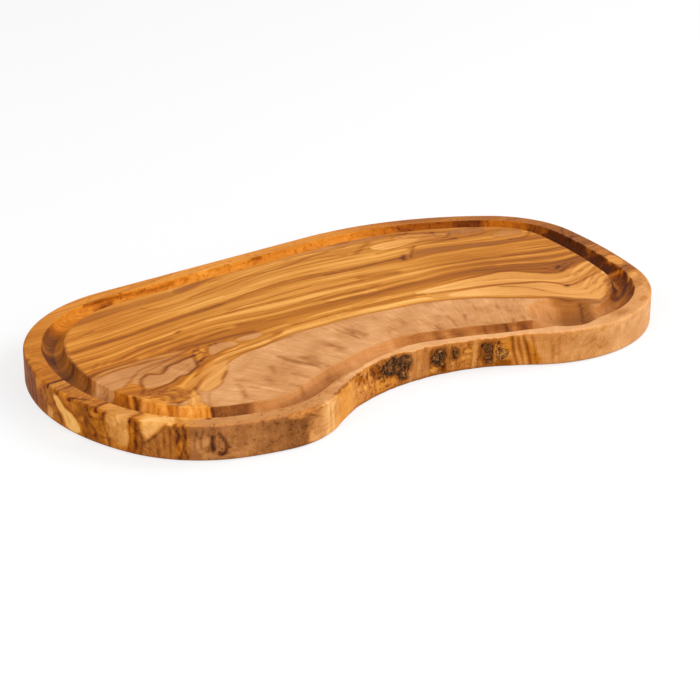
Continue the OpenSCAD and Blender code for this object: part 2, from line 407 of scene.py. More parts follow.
def bend(a, b):
    d2 = ((a[:, None, :] - b[None, :, :]) ** 2).sum(-1)
    return 0.5 * d2 * np.log(d2 + 1e-9)


def fit_grain():
    """Weights of a thin plate that passes near the grain lines."""
    n = len(guide)
    m = np.zeros((n + 3, n + 3))
    m[:n, :n] = bend(guide, guide) + GRAIN_SMOOTHING * np.eye(n)
    m[:n, n] = m[n, :n] = 1
    m[:n, n + 1:] = guide
    m[n + 1:, :n] = guide.T
    return np.linalg.solve(m, np.concatenate([guide_level - guide[:, 1], [0, 0, 0]]))


grain_fit = fit_grain()


def grain_at(px, py):
    """Level of the grain line that passes through each point."""
    q = np.column_stack([px, py])
    n = len(guide)
    return np.concatenate([
        bend(part, guide) @ grain_fit[:n] + grain_fit[n] + part @ grain_fit[n + 1:] + part[:, 1]
        for part in np.array_split(q, 1 + len(q) // GRAIN_BATCH)])


slanted = y + SLANT * deep
across = grain_at(x, slanted)
grain_run = np.stack([grain_at(x, slanted + 1) - across, across - grain_at(x + 1, slanted)], -1)
grain_run /= np.linalg.norm(grain_run, axis=1)[:, None] + 1e-9
normal = np.empty(len(verts) * 3)
board.data.vertices.foreach_get("normal", normal)
end_grain = np.abs((normal.reshape(-1, 3)[:, :2] * grain_run).sum(1))

# Small shifts that make the edges of patches and lines uneven
shake = np.stack([x / 9, y / 5, z / 9], -1)
shift_x, shift_y = 6 * (rough(shake, 21) - 0.5), 4 * (rough(shake, 23) - 0.5)
vary = rough(verts / 14, 29)

TOP = (PLATEAU, ON_RIM, TOP_EDGE)
GROOVE = (GROOVE_OUT, GROOVE_IN)
SIDE = (WALL, FOOT, TOP_EDGE)

# Tones round the edge: distance along the edge, tone, pale, gold, and how far they cover the plain grain
# On the back right, from -466 to -376, the rim is darker and paler: painted shade along the edge.
RIM_TONES = rows_of(
    "-530 .1 .3 0 .9, -482 .1 .3 0 .9, -466 .32 .45 0 .85, -420 .36 .5 0 .85, -376 .38 .35 .2 .85, "
    "-365 .62 .3 .65 .9, -205 .67 .3 .65 .9, -110 .65 .3 .65 .9, -85 .45 0 .3 .7, -40 .3 0 .2 .7, "
    "-5 .35 0 .3 .9, 0 .55 .3 0 .9, 10 .35 .2 0 .9, 36 .3 .1 .1 .9, 40 .45 0 .5 .9, 46 .6 .3 0 .9, "
    "61 .6 .3 0 .9, 64 .35 0 .4 .9, 69 .45 0 .3 .9, 72 1 .3 .2 1, 87 1 .3 .2 1, 89 .35 0 .4 .9, "
    "94 .55 .3 .2 .9, 106 .4 .9 0 1, 190 .46 .9 0 1, 215 .87 1 0 1, 340 .91 1 0 1, 400 .62 .9 0 1, "
    "440 .58 .7 0 .9, 475 .4 .4 0 .8, 500 .2 .3 0 .9, 530 .1 .3 0 .9")
GROOVE_OUT_TONES = rows_of(
    "-530 -.4 0 .2 1, -484 -.4 0 .2 1, -479 .05 0 .3 1, -468 0 0 .3 1, -461 .55 0 .9 1, -432 .5 0 .9 1, "
    "-427 -.25 0 .5 1, -411 -.2 0 .5 1, -405 .25 0 .7 1, -372 .3 0 .7 1, -365 .6 .05 .72 .9, "
    "-200 .62 .05 .72 .9, -100 .6 .05 .72 .9, -91 .2 0 .4 1, -82 -.2 .5 0 1, -45 -.26 .5 0 1, "
    "-20 -.16 .4 0 1, 0 0 0 0 1, 20 .15 .2 0 .8, 90 .4 .3 .3 .8, 110 .4 .8 0 .8, 396 .4 .8 0 .8, "
    "410 -.1 .3 0 .9, 422 -.38 0 .2 1, 472 -.38 0 .2 1, 478 -.1 0 .3 1, 484 .15 0 .3 1, 490 .1 0 .3 1, "
    "496 -.36 0 .2 1, 530 -.4 0 .2 1")
GROOVE_IN_TONES = rows_of(
    "-530 .3 .2 0 .3, -120 .5 0 .2 .2, -40 -.05 .4 0 .8, -20 -.12 .4 0 1, 0 -.03 .3 0 1, 6 .2 .2 0 1, "
    "36 .12 .1 .05 1, 40 -.1 .1 .1 1, 53 -.05 .1 .1 1, 56 .84 .25 .4 1, 69 .84 .25 .4 1, 72 .15 0 .5 1, "
    "81 .15 0 .5 1, 84 .86 .25 .4 1, 104 .86 .25 .4 1, 106.5 -.5 .2 0 1, 110 -.35 .6 0 1, "
    "134 -.3 .7 0 1, 139 .35 .8 0 1, 180 .5 .9 0 .9, 230 .48 .9 0 .9, 258 .35 .8 0 .9, 272 .15 .7 0 .9, "
    "300 .12 .7 0 .9, 326 .02 .65 .1 .95, 333.5 -.02 .6 .15 .95, 336 .32 .8 0 .8, 400 .3 .8 0 .8, "
    "414 .2 .7 0 .9, 424 -.15 .4 0 1, 456 -.3 .1 .1 1, 530 .3 .2 0 .3")
WALL_TONES = rows_of(
    "-530 .4 .2 0 .6, -440 .4 .1 .2 .2, -110 .4 0 .2 .3, -60 .12 0 .4 .9, -40 -.08 0 .5 1, "
    "-22 -.1 0 .45 1, -12 .12 0 .3 1, 0 .18 0 .2 1, 30 .11 0 .15 1, 46 .16 0 .1 1, 48 .51 .3 .1 1, "
    "62 .46 .2 .2 1, 64 .2 0 .4 1, 68 0 0 .2 1, 72 .09 .5 0 1, 82 .09 .5 0 1, 85 .06 .4 0 1, "
    "88 .04 .35 0 1, 92 0 .3 .1 1, 96 .1 .4 0 1, 98 .06 1 0 1, 120 .09 1 0 1, 138 .06 1 0 1, "
    "147 -.06 1 0 1, 149 -.34 .9 0 1, 159 -.34 .9 0 1, 163 .04 .8 0 1, 172 .68 .6 0 1, 182 .82 .5 0 1, "
    "190 .7 .15 .45 1, 203 .72 .15 .45 1, 209 .78 .3 .2 1, 214 .5 .6 .35 1, 227 .46 .6 .35 1, "
    "231 .34 .6 .3 1, 258 .32 .65 .25 1, 259.2 .5 .85 .2 1, 261.3 .5 .85 .2 1, 262 .4 .75 .25 1, "
    "269 .4 .75 .25 1, 269.8 .52 .8 .2 1, 272 .42 .7 .25 1, 273 .27 .6 .25 1, 282 .27 .6 .25 1, "
    "283 .36 .65 .25 1, 289 .36 .5 .35 1, 298 .34 .5 .35 1, 298.6 .62 .6 .2 1, 300.6 .62 .6 .2 1, "
    "301.5 .27 .5 .3 1, 311 .28 .45 .3 1, 312 .42 .4 .35 1, 321 .44 .35 .35 1, 327 .6 .4 .2 1, "
    "338 .5 .7 .15 1, 352 .44 .8 .15 1, 356 .48 .7 .1 1, 378 .66 .7 0 1, 382 .77 .8 0 1, 425 .83 .9 0 1, "
    "470 .5 .5 0 .9, 530 .4 .2 0 .6")

# Patches on the wall (distance along the edge, height) and on the top (x, y): tone, pale, gold, outline, blur
PATCH_BLUR = 0.8
WALL_PATCHES = [
    (-.1, .4, 0, "229 18.5, 240 18.8, 258 19, 260 15, 259.5 5, 252 2, 248 6.5, 240 8, 230 10.5", 1.5),
    (-.2, .3, 0, "270.5 17.5, 277 18.7, 283 17.5, 283.5 10, 282.5 4, 278 3.5, 273 5, 271 10", 1.6),
    (-.3, .2, 0, "284 17.5, 289 17.5, 289.3 8, 284.6 7.5", 1.2),
    (-.3, .2, 0, "302 17.5, 309 18, 312 15, 312 2, 305 2, 302.5 9", 1.5),
    (.3, .6, .1, "148 18, 156 17, 166 16.5, 170 18.5, 166 21, 148 21", .8),
    (1.2, .1, .2, "5 15, 6 17, 9 17.5, 14 14.5, 17 12.3, 22 11.8, 27 9, 29.3 6.5, 29 1.5, 17 1, "
                  "15.5 4.5, 13 8.5, 9 10.5, 6.5 13.5"),
    (.75, .4, 0, "-4 1, -3 7, 0 8.5, 3 7.5, 4 4, 3 1"), (.5, 0, .6, "-16 21, -19 12, -15 11, -8 17, -3 21"),
    (.45, 0, .5, "10 21, 12 16.5, 18 13.5, 25 13, 27 16, 22 21"),
    (-.08, 0, 0, "27 21, 28 13, 31 8, 30 0, 37 0, 38 9, 35 14, 33 21"),
    (.6, .1, .2, "29 11.5, 31 13.5, 33 12, 32.5 10, 30.5 9.6"),
    (.38, 0, .3, "36 21, 38 15, 42 13, 45 16, 46 21"),
    (.65, .35, 0, "48 21, 48 14, 51 10.5, 52.5 6, 56 3.5, 60 3, 63 5, 63.5 10, 62.5 15, 64.5 21"),
    (.88, .3, 0, "71 21, 70 15.5, 73 11, 77 13, 82 17, 84 21", 1.6),
    (.5, 0, .6, "89.5 5, 90 11, 91.5 12, 92.5 8, 92 3"),
    (.16, 1, 0, "97 16, 100 18, 106 17, 107 8, 104 4, 98 6"),
    (.5, .8, 0, "165 9, 166.5 13, 170 14, 173 11, 172.5 6, 169 4, 166 5.5"),
    (.72, .6, 0, "162 6, 164 9, 166 5, 170 3, 170 1, 161 1"),
    (.05, 0, .2, "212.5 17.5, 218 17, 225 13, 226 11, 222 12.3, 217 13.5, 213 15.5"),
    (.85, .3, .2, "222 16.5, 226 16, 226 14.5, 222.5 15"), (.85, .3, .2, "222 9.5, 224.5 9, 224 7, 222 8"),
    (-.3, .1, .1, "213.5 19.6, 216.5 19.2, 219.5 18.6, 218.5 17.2, 216 17.6, 214 18.2"),
    (-.3, .1, .1, "217.8 15.6, 220.4 16, 221 14.2, 219.6 12.4, 218 13.4"),
    (-.4, .1, .1, "225.2 16.6, 226.8 16.2, 227.2 13, 225.8 11.4, 225.2 13.8"),
    (-.3, .1, .1, "221.2 12.6, 223.4 12.8, 223.8 11, 221.6 10.6"),
    (-.35, 0, .2, "228 18.5, 232 18, 233 14.5, 231.5 11.5, 229.5 13.5"),
    (-.35, 0, .2, "232.5 16.5, 236.5 16, 238 12.5, 234.5 11.5"),
    (.58, .2, .3, "229 10, 236 9, 244 7.5, 249 6, 250 2, 229 2"),
    (.2, .7, .25, "262 16.5, 265 16, 266.5 13, 264 12, 262 13", 1.2),
    (.78, .2, .3, "273 5.5, 276 6, 278.5 4, 277 2, 273 2"),
    (-.4, 0, 0, "279 6, 281 6.5, 283.5 3, 282 1, 279 2"),
    (.8, .2, .3, "285 7, 287 7.5, 287.5 5.5, 285.5 5"),
    (-.3, 0, 0, "291.5 15.5, 293.5 15, 293 12.5, 292 13"),
    (.9, .1, .5, "291 9.5, 292.5 10.5, 294 8, 292.5 6.5"),
    (.9, .1, .5, "293.5 10, 298.3 9.8, 298.3 8.7, 293.5 8.8"),
    (.8, .1, .5, "292 14, 295 14.5, 298 13, 298 12, 293 12"),
    (.72, .1, .4, "311 16, 313 16, 313.3 9, 311.5 7"),
    (.6, 0, .5, "314.5 17, 321 17, 322 10.5, 317 10, 315 11"),
    (1, .1, .4, "314.5 9, 318 8.6, 321.5 9, 322 7, 318 5.8, 315 7"),
    # A darker strip low on the live wall, under the bark's crumbs, is painted shade.
    (-.15, 0, .1, "312 4.5, 318 4, 322 4.5, 322 .5, 312 .5"),
    (.25, .1, .3, "329.5 16, 332 15, 337 8, 341 1.5, 331 1.5, 329.5 8"),
    (.56, .75, 0, "353 3, 353 11, 357 15, 362 19, 371 18, 380 12, 381 6, 374 4, 364 5", 1.5),
]
TOP_PATCHES = [
    (.06, .2, 0, "-72 69, -60 72, -48 77, -36 81, -24 83, -22 86, -34 87, -44 85.5, -54 81, -64 78, "
                 "-72 77", 1.5),
    (.3, .1, .1, "-152 60, -130 63, -110 65.5, -90 67, -72 69, -72 77, -92 73.5, -112 72, -132 69.5, "
                 "-150 66", 2),
    (.45, .6, 0, "5 83.5, 30 83.5, 52 81, 52 88, 30 90, 5 88", 1.5),
    (.32, .5, 0, "50 81, 65 81, 80 80, 89 80, 88 85, 70 87, 50 88", 1.5),
    (.8, .3, .1, "90 80, 104 76, 118 70, 130 63, 126 58, 110 60, 96 62, 88 70", 2.5),
    (.6, .2, .1, "-138 -50, -130 -44, -118 -35, -108 -28, -97 -23, -80 -18.5, -62 -15, -52 -13, -54 -17, "
                 "-66 -20.5, -85 -24, -98 -29, -108 -35, -118 -42, -128 -49, -135 -55", 1.2),
    (.55, .5, 0, "-178 -22, -173 -11, -162 -6, -145 -4, -125 -3.5, -108 -5, -110 -9, -125 -8.5, "
                 "-148 -8.5, -161 -10.5, -171 -14, -176 -24", 1.5),
    (.57, .95, 0, "-177 -22, -172 -14, -161 -11, -148 -9, -135 -9.5, -122 -9, -113 -10.5, -122 -13, "
                  "-135 -13.5, -144 -17, -152 -23, -160 -30, -168 -32, -176 -31"),
    (.57, .95, 0, "-155 -40, -153 -33, -150 -27, -145 -23.5, -141 -24, -137 -27, -132 -23, -129 -20, "
                  "-122 -18.5, -114 -16, -111 -19, -114 -26, -119 -31, -126 -35, -133 -36.5, -140 -41"),
    (.57, .85, 0, "-102.5 -19.5, -101 -16, -99 -12, -97.5 -9.5, -94 -8, -90 -7.6, -85 -7.8, -82 -9.5, "
                  "-80 -12, -80.5 -14.5, -83 -16.5, -88 -16.5, -93 -17.5, -96 -19, -99.5 -20.3"),
    (.57, .85, 0, "-79.5 -9, -78 -7, -74 -6.2, -70 -6.3, -65 -6.3, -61.5 -7.5, -61 -10, -63 -12, "
                  "-67 -13.3, -71 -14.3, -75 -13.5, -79 -11.5"),
    (.62, .8, 0, "-158 -29, -150 -21, -143 -16, -132 -14, -118 -13.5, -112 -15, -128 -18, -133 -23, "
                 "-138 -25, -143 -21, -149 -26, -154 -33"),
    (.25, 0, .2, "-172 -36, -166 -32, -156 -33, -155 -40, -163 -43, -170 -45"),
    (.8, 0, .4, "-165 -40, -163 -42, -168 -50, -172 -58, -173.5 -56, -169 -48"),
    (.36, .1, .2, "-164 -45, -150 -43, -140 -44, -136 -52, -140 -64, -150 -66, -158 -52"),
    (.78, .1, .5, "-170 -62, -162 -54, -157 -51, -151 -53, -151 -58, -155 -64, -160 -70, -164 -73, "
                  "-170 -68"),
    (.82, .1, .5, "-159 -81, -154 -73, -150 -68, -145 -69, -141 -66, -136 -74, -138 -82, -144 -89, "
                  "-152 -87"),
    (.9, .3, .2, "-145 -69, -140 -63, -136 -56, -133.5 -53, -133 -60, -136.5 -67, -140 -71"),
    (.78, .3, 0, "-131 -59, -130 -53, -125 -48, -118 -42.5, -112 -37.5, -106 -33, -99 -29.5, -96 -31, "
                 "-101 -36, -105 -42, -109 -47, -113 -51, -117 -55.5, -122 -58.5, -127 -61", 1.2),
    (.3, .2, 0, "85 51, 95 50, 110 46, 125 41, 140 35, 155 30, 150 27, 130 33, 110 38, 95 41, 84 44"),
    (1.05, .2, .1, "66 70, 76 74, 95 71, 105 66, 95 61, 78 61, 68 64"),
    (.45, .7, 0, "125 68, 138 66, 150 58, 146 53, 132 57, 122 62"),
    (.68, .5, 0, "143 45, 152 49, 164 46, 168 39, 158 36, 147 39"),
    (.74, .2, .1, "50 -8, 70 -7, 106 -8, 120 -16, 134 -31, 146 -29, 168 -24, 166 -40, 158 -55, 140 -76, "
                  "128 -80, 112 -62, 95 -48, 75 -34, 55 -26, 48 -18", 1.5),
    (.99, .25, 0, "44 -7.5, 58 -6.8, 75 -7.5, 92 -8.5, 106 -10, 116 -14, 124 -23, 130 -30, 136 -33, "
                  "146 -31, 160 -26, 168 -25, 164 -34, 150 -44, 130 -51, 127 -43, 118 -34, 100 -25.5, "
                  "80 -19.5, 66 -16, 54 -13, 44 -10.5"),
    (1.06, .3, 0, "60 -20.5, 80 -23, 96 -27.5, 112 -34.5, 121 -39.5, 126 -46, 131 -53.5, 146 -48.5, "
                  "162 -41.5, 160 -52, 150 -62, 136 -76, 128 -78, 118 -66, 108 -56, 94 -46, 78 -35, "
                  "60 -26"),
    (.36, .95, 0, "99 -60, 106 -61, 114 -67, 119 -77, 118 -89, 110 -98, 98 -101, 86 -98, 79 -89, 78 -78, "
                  "83 -68, 90 -62", 2.5),
    (-.02, .6, 0, "107 -58, 113 -63, 119 -70, 132 -81, 126 -90, 114 -97, 104 -99, 95 -98, 94 -86, "
                  "99 -77, 104 -70, 106 -64", 3),
    (.35, .8, 0, "118 -80, 124 -82, 131 -84, 138 -82, 142 -86, 130 -93, 118 -94, 115 -88", 2),
    (.15, .5, 0, "182 9, 192 10, 192 3, 183 1"), (.5, .4, 0, "181 -4, 191 -4, 190 -13, 180 -13"),
    (.55, .3, .2, "180 -15, 189 -14, 187 -23, 179 -23"),
    (.85, .3, .2, "178 -25, 187 -24, 184 -41, 176 -42"), (.8, .4, 0, "169 -56, 178 -54, 175 -62, 167 -63"),
    (.28, .6, 0, "164 -66, 174 -63, 169 -73, 160 -75"), (.72, .7, 0, "157 -78, 168 -75, 161 -88, 151 -88"),
    (.35, .6, 0, "148 -91, 157 -87, 153 -94, 146 -95"),
    (.4, .7, 0, "117 -98, 134 -95, 136 -100, 118 -106", 2),
]

# Thin lines: change of tone, half width and points, in the groove by distance along the edge and depth
WALL_LINES = [
    (-.5, .8, "38 10, 40 8, 41.5 6.5, 40 4.5"), (-.5, .7, "34 20, 36 16, 41 14, 45 15"),
    (-.45, .8, "47 20, 46.5 14, 49 9, 51 3, 50 0"), (-.4, .7, "64.8 20, 63.3 14, 64 8, 62.5 1"),
    (-.45, 1, "67 20, 68 10, 66.5 1"), (-.35, .8, "70 15, 71 8, 70 1"),
    (-.4, .7, "84 20, 81 15, 76 11.5, 73 9"), (-.3, .5, "75 10, 76 2"), (-.3, .5, "79 13, 80 1"),
    (-.35, .6, "83 15, 84 1"), (-.3, .5, "86.5 18, 87 1"), (-.6, .8, "89 20, 91 15, 89.3 10, 92 5, 91 0"),
    (-.6, .8, "93 20, 94.5 14, 93 8, 95.5 2"), (-.35, .6, "103.5 17, 102 12, 103.3 7"),
    (-.3, .5, "100.5 17, 99 11, 100 6"), (-.9, 1.2, "108.5 14, 108.2 10, 108.8 6.5"),
    (-.7, .8, "111.5 16, 114 13, 116 9, 115.5 5, 113.5 3, 112.3 5"), (-.5, 1, "-38 20, -33 12, -30 4"),
    (-.45, .9, "-28 19, -25 10, -24 3"), (-.4, .8, "-21 18, -20 9, -17 3"),
    (-.35, .8, "-12 14, -9 9, -8 2"), (-.4, .8, "-6 17, -2 12, -5 8, -4 2"),
    (-.4, .9, "4 18, 5 13, 10 8, 13 3"), (-.35, .7, "10 19, 15 15.5, 20 13.3, 26 11"),
    (.2, 1.6, "176 19, 178 10, 176 1"), (-.55, .9, "321.5 19, 325 1"), (-.45, .8, "325 18, 328.5 1"),
    (-.55, 1, "328.5 18, 333 1"), (-.4, .8, "333.5 18, 337 1"), (-.2, .7, "344 17, 345 3"),
    (-.15, .7, "349 17, 350 3"), (-.9, .7, "312.8 16.5, 313.6 12, 314.2 8, 315 5"),
    (-.35, .8, "345.5 12, 346.5 8, 346 4"), (-.3, 1.1, "205 .3, 225 .6, 250 .4, 280 .6, 300 .3, 322 .5"),
    (-.35, .5, "159 18.5, 165 16.5, 172 13"), (-.5, .7, "186 20, 190 19.3, 194 19.8"),
    (-.6, .8, "196 19.8, 200 19.2, 203 19.8"), (-.6, .9, "206 19.9, 209 18.8, 212 19"),
    (-.45, .6, "204 16, 205 14"), (-.4, .5, "198 18, 199 15.5"), (-.35, .5, "206.5 13, 207 10"),
    (-.4, .6, "210 17, 210.8 12"), (-.35, .5, "193 17, 194.5 15"), (.2, .8, "181 18, 182 3"),
    (-.2, .5, "179 17, 179.5 4"), (-.2, .5, "184 16, 184.5 3"),
]
TOP_LINES = [
    (-.75, .9, "-163 -44, -158 -43.5, -155 -40, -153.5 -34, -151 -28, -146 -24, -143 -22.5, -140 -25.5, "
               "-137 -27, -134 -25, -131.5 -23, -129.5 -20, -126 -19, -122 -18.5, -118 -17, -110 -15"),
    (-.6, .8, "-110 -15, -113 -23, -116 -29, -120 -31.5, -123 -34, -126 -35.5, -129 -35, -132 -35.5, "
              "-134 -38, -137 -39.5, -141 -41, -146 -42, -152 -43, -158 -43.5"),
    (-.45, .7, "-162 -30, -157 -26.5, -152 -22.5, -147 -18, -141 -14.5, -135 -12.5, -128 -11.8, "
               "-113 -11"),
    (-.3, .8, "-179 -29, -174 -18, -170 -12.5, -165 -11, -158 -9.5, -150 -8, -140 -7.5, -125 -8"),
    (-.28, .8, "-178 -20, -173 -11, -167 -6.5, -150 -5, -130 -4.5"),
    (-.5, .8, "-106 -10, -103 -15, -105 -19, -112 -24"),
    (-.3, .6, "-103 -19.5, -101 -14, -98 -9.5, -94 -7.5, -85 -7, -81 -9.5, -78 -6.3, -70 -5.5, -62 -6.5"),
    (-.5, .8, "-163 -44, -166 -52, -171 -60, -170 -64"), (-.5, .9, "-166 -41, -170 -50, -173 -57"),
    (-.6, 1, "-164 -74, -158 -70, -153 -69, -149 -66"),
    (-.45, .8, "-150 -50, -146 -56, -150 -61, -146 -66"),
    (-.4, .7, "-158 -46, -154 -50, -148 -47, -142 -50"),
    (-.45, .8, "-143 -47, -141 -54, -144 -60, -140 -62"), (-.6, .9, "-106 -43, -109 -47, -113 -51"),
    (-.4, .8, "-113 -51, -116 -56, -121 -59, -127 -61, -130 -64, -133 -70, -136 -78, -140 -83"),
    (-.9, 1.2, "-145 -90, -139 -83"), (-1.05, 1, "-190 -55, -188.5 -47, -184 -43.5, -176 -42.5"),
    (-1.5, .9, "-196 -4.2, -190 -3.6, -183 -3"), (-.6, .9, "-186 -76, -182 -69, -178 -66, -170 -65"),
    (-.75, .8, "-196 -14, -190 -15, -184 -13"), (-.6, .8, "-194 -24, -189 -30, -184 -36"),
    (-.75, 1, "-194 -34, -190 -42, -190 -55"), (-.5, .8, "-160 43, -148 44.5, -139 47.5"),
    (-.22, 2.4, "-163 25, -150 28, -135 29, -120 30, -105 34, -90 37, -75 39, -60 42"),
    (-.65, 1.2, "-102 18, -99 19.5"), (-.35, .9, "-130 13, -116 15, -102 18, -92 23, -80 24"),
    (-.35, 1, "-152 2, -135 8, -120 11, -108 12"),
    (.55, 2, "-136 -2, -120 2.5, -110 4.3, -100 5.6, -90 7.6, -80 8.8, -70 9"),
    (.25, 1, "-95 11, -85 12, -75 12.5, -60 11.5"), (-.3, 1, "-118 0, -105 1.5, -95 3, -85 4.5, -75 5.5"),
    (-.4, 1.6, "-112 -3.5, -100 -2.5, -94 -3.5, -88 -4, -80 -3.5, -72 -3, -65 -4"),
    (-.5, .6, "-109 -13, -106.5 -10.5, -105 -8"), (-.5, .6, "-104 -10.5, -102.5 -7.5, -101.5 -5"),
    (-.5, .6, "-101.5 -15, -99.5 -11.5, -99 -9"), (-.5, .7, "-112 -15.5, -108 -15, -104 -14"),
    (.4, .7, "-107 -13.2, -105.5 -11.5"), (.35, .7, "-102.5 -11.5, -101.5 -9"),
    (-.5, .7, "-96 -7.5, -94 -6.8"), (-.45, .6, "-92.5 -9.5, -90.5 -6"),
    (-.5, .8, "-111 -24, -107 -20.5, -103 -20.5"), (-.4, .8, "-99 -21, -95 -19.5, -90 -18, -84 -17.5"),
    (-.45, 1.2, "-131 -52, -133 -57, -134 -61"), (-.3, .9, "-165 0, -159 5"), (-.3, .9, "-158 1, -152 6"),
    (-.3, .9, "-149 0, -143 4"), (-.2, 1, "-100 62, -97 57, -91 55"),
    (-.45, 1.4, "-30 84.5, -20 84, -10 85, 0 87, 20 88, 40 88.5, 62 87"),
    (-.4, 1, "-70 60, -55 65, -40 69, -25 71, 0 71.5, 10 73, 25 78, 40 79.5, 55 80"),
    (-.3, .9, "-50 52, -30 55, -10 56, 10 57, 20 56, 26 54, 28 51, 33 47.5"),
    (-.25, 1.2, "-70 38.5, -60 41, -45 45, -30 48, -10 51, 0 51.5, 15 50.5, 25 48"),
    (-.4, 1.4, "18 46, 35 45.5, 50 45, 62 45, 74 44"), (-.35, .8, "-60 31, -45 33, -25 35, 2 37"),
    (-.35, .8, "-65 27.5, -20 26, 0 26, 20 27, 32 26"), (-.45, 2.2, "33 31, 45 28, 58 25.5"),
    (-.4, .8, "-42 16.5, -20 17, -5 18.5, 10 19, 25 18, 38 16"),
    (-.35, .8, "-5 14, 10 14.5, 25 13.5, 35 14.5"), (.35, 1.3, "-2 10, 15 10, 30 9.5"),
    (-.4, 1, "-6 8, 8 8, 20 8"), (.25, 1, "-40 -3, -20 -4, 0 -3.5, 15 -2, 30 -4"),
    (-.3, .8, "-40 -6, 0 -6, 20 -5"), (-.35, .8, "-40 -9, 0 -8.5, 25 -9, 50 -12"),
    (-.4, .9, "-57 -13.5, -40 -12, -10 -12, 10 -11, 25 -12, 40 -14"), (-.6, 1.3, "73.5 41, 75.5 44, 78 47"),
    (-.4, .9, "79 42, 83 47, 88 52, 92 56"), (-.45, 1.1, "87 54.8, 94 56.3"),
    (-.4, 1.2, "66 59, 78 59, 90 57, 100 56, 112 55, 123 53.5"), (-.4, 2, "55 67, 63 72, 72 78"),
    (-.45, 1, "150 33, 158 29, 166 33, 172 38"), (-.35, 1, "125 62, 118 58, 114 64, 118 70"),
    (-.3, 1, "134 52, 142 51, 150 54, 156 50"), (-.4, .9, "97 80, 101 77.5, 104 80"),
    (-.35, .8, "92 78, 95 74"), (-.35, .8, "112 72, 115 68, 117 71"), (-.35, .9, "107 68, 112 66"),
    (-.4, .9, "118 64, 121 60, 124 62"), (-.45, 1, "120 54, 123 53"), (-.3, .8, "99 72, 103 69"),
    (-.25, 1, "80 -6.5, 105 -8, 115 -11, 122 -17, 128 -24, 134 -29.5, 141 -31, 146 -27, 152 -24, "
              "166 -23"),
    (-.25, .8, "58 -9.5, 70 -12.5, 85 -16, 100 -18"),
    (-.45, 1.1, "-124 -40, -113 -29, -105 -24.5, -95 -22, -80 -20.3, -70 -18.8, -60 -16.5, -52 -14"),
    (.35, .9, "-104 -27.5, -95 -24, -85 -22, -75 -21.5, -65 -20.5"),
    (-.35, .9, "-106 -32, -98 -28, -90 -27.3, -80 -26, -70 -24.5, -60 -23.5, -50 -22.5"),
    (-.5, .7, "-160 -44, -156 -47, -152 -45, -147 -47, -143 -45"),
    (-.5, .7, "-155 -50, -152 -54, -153 -58"), (-.45, .7, "-151 -62, -148 -65, -145 -63, -142 -66"),
    (.35, 1, "-158 -48, -154 -49"), (.35, .9, "-149 -53, -150 -57"), (.35, .9, "-143 -52, -142 -57"),
    (.25, .9, "-146 -48, -142 -47"), (-.4, .9, "110 -85, 113 -80, 117 -75"), (-.3, .8, "90 -87, 94 -82"),
    (-.3, .9, "104 -92, 108 -86"), (.25, 1, "88 -72, 92 -64"), (.25, 1.2, "83 -70, 87 -63"),
    (-.25, .8, "96 -72, 99 -66"),
    (-.55, 1.4, "52 -15, 65 -18.5, 78 -21, 90 -24, 100 -28, 110 -32, 118 -36, 124 -40, 126.5 -45, "
                "128 -50"),
    (-.65, 1.6, "127 -51, 129 -49.5"), (-.6, 1.1, "94 -29, 102 -34.5, 107 -40, 110 -45, 111.5 -49"),
    (-.5, 1, "172 -47, 176 -46, 181 -44"), (-.5, .9, "171 -52, 175 -50, 180 -48"),
    (-.4, .9, "184 20, 188 26, 191 30"), (-.35, .9, "183 12, 187 16, 191 18"),
    (-.35, .8, "181 -9, 186 -8, 190 -6"), (-.3, .8, "112 -51, 117 -60, 124 -65, 131 -68"),
    (-.5, 1.1, "128 -50.5, 134 -50.5, 142 -48, 150 -46, 159 -43.5"),
    (-.5, .9, "131 -68, 136 -66, 142 -63.5, 150 -60, 157 -53, 164 -48"),
    (-.42, .8, "133 -61, 142 -57, 150 -52, 158 -47"),
    (-.5, 1, "131 -79, 136 -76, 143 -71, 150 -67, 156 -61"),
    (-.95, .9, "141.3 -24.3, 143.5 -23.3, 146 -22.3"), (-.35, .8, "141 -30, 150 -25.5, 158 -21.5"),
    (.3, .9, "136 -18, 139 -21, 141 -26"), (-.45, .5, "142 -40, 145 -38.5"), (-.45, .5, "149 -37, 153 -35"),
    (-.45, .5, "143 -57.5, 148 -55"), (-.5, .5, "150 -58, 155 -56"), (-.5, .5, "148 -64, 153 -61"),
    (-.45, .5, "156 -50, 160 -47.5"), (-.4, .5, "139 -71.5, 145 -68.5"), (-.45, .5, "146 -51, 151 -48.5"),
    (-.29, .9, "135 -20, 141 -28"), (-.29, .9, "145 -26, 152 -20"),
    (-.5, .9, "138 -38.5, 148 -36, 156 -33, 166 -29"),
    (-.45, .9, "128 -45, 134 -47, 142 -45, 150 -42, 158 -39, 166 -34"),
    (.3, 1.2, "115 0, 130 -5, 140 -10, 150 -13, 166 -13"),
    (-.3, 1, "100 4, 120 -2, 132 -8, 142 -14, 152 -17, 168 -16"), (-.3, 1, "128 11, 138 8, 150 4, 168 3"),
    (-.48, 1.5, "-72 -43, -70 -50, -66 -58, -61 -68"), (-.25, 1, "-49 -55, -45 -65"),
    (-.2, 2, "-40 -46, -36 -54"), (-.4, 1.5, "-110 -62, -112 -70, -115 -78"),
    (-.3, 1, "-107 -68, -102 -76, -98 -82"), (.2, 1.3, "-102 -73, -94 -84"),
    (-.33, 1.5, "-83 -52, -86 -60"), (-.4, 2, "-79 -66, -74 -74"), (-.27, 3, "-92 -62, -95 -72"),
    # The second line here, along the groove's outer lip at the front of the bay, is painted shadow.
    (-.32, 1.5, "-87 -76, -84 -82"), (-.5, .7, "-90 -96.5, -80 -94, -70 -90, -60 -86, -50 -82, -42 -79.3"),
    (-.3, 1.3, "2 -43, 3 -52"), (-.2, 1.2, "24 -45, 23 -55"), (-.3, 1.2, "40 -48, 37 -58, 36 -63"),
    (-.22, 1.5, "66 -50, 63 -57"), (-.18, 1.2, "79 -53, 74 -62"), (-.14, 1.2, "52 -68, 55 -73"),
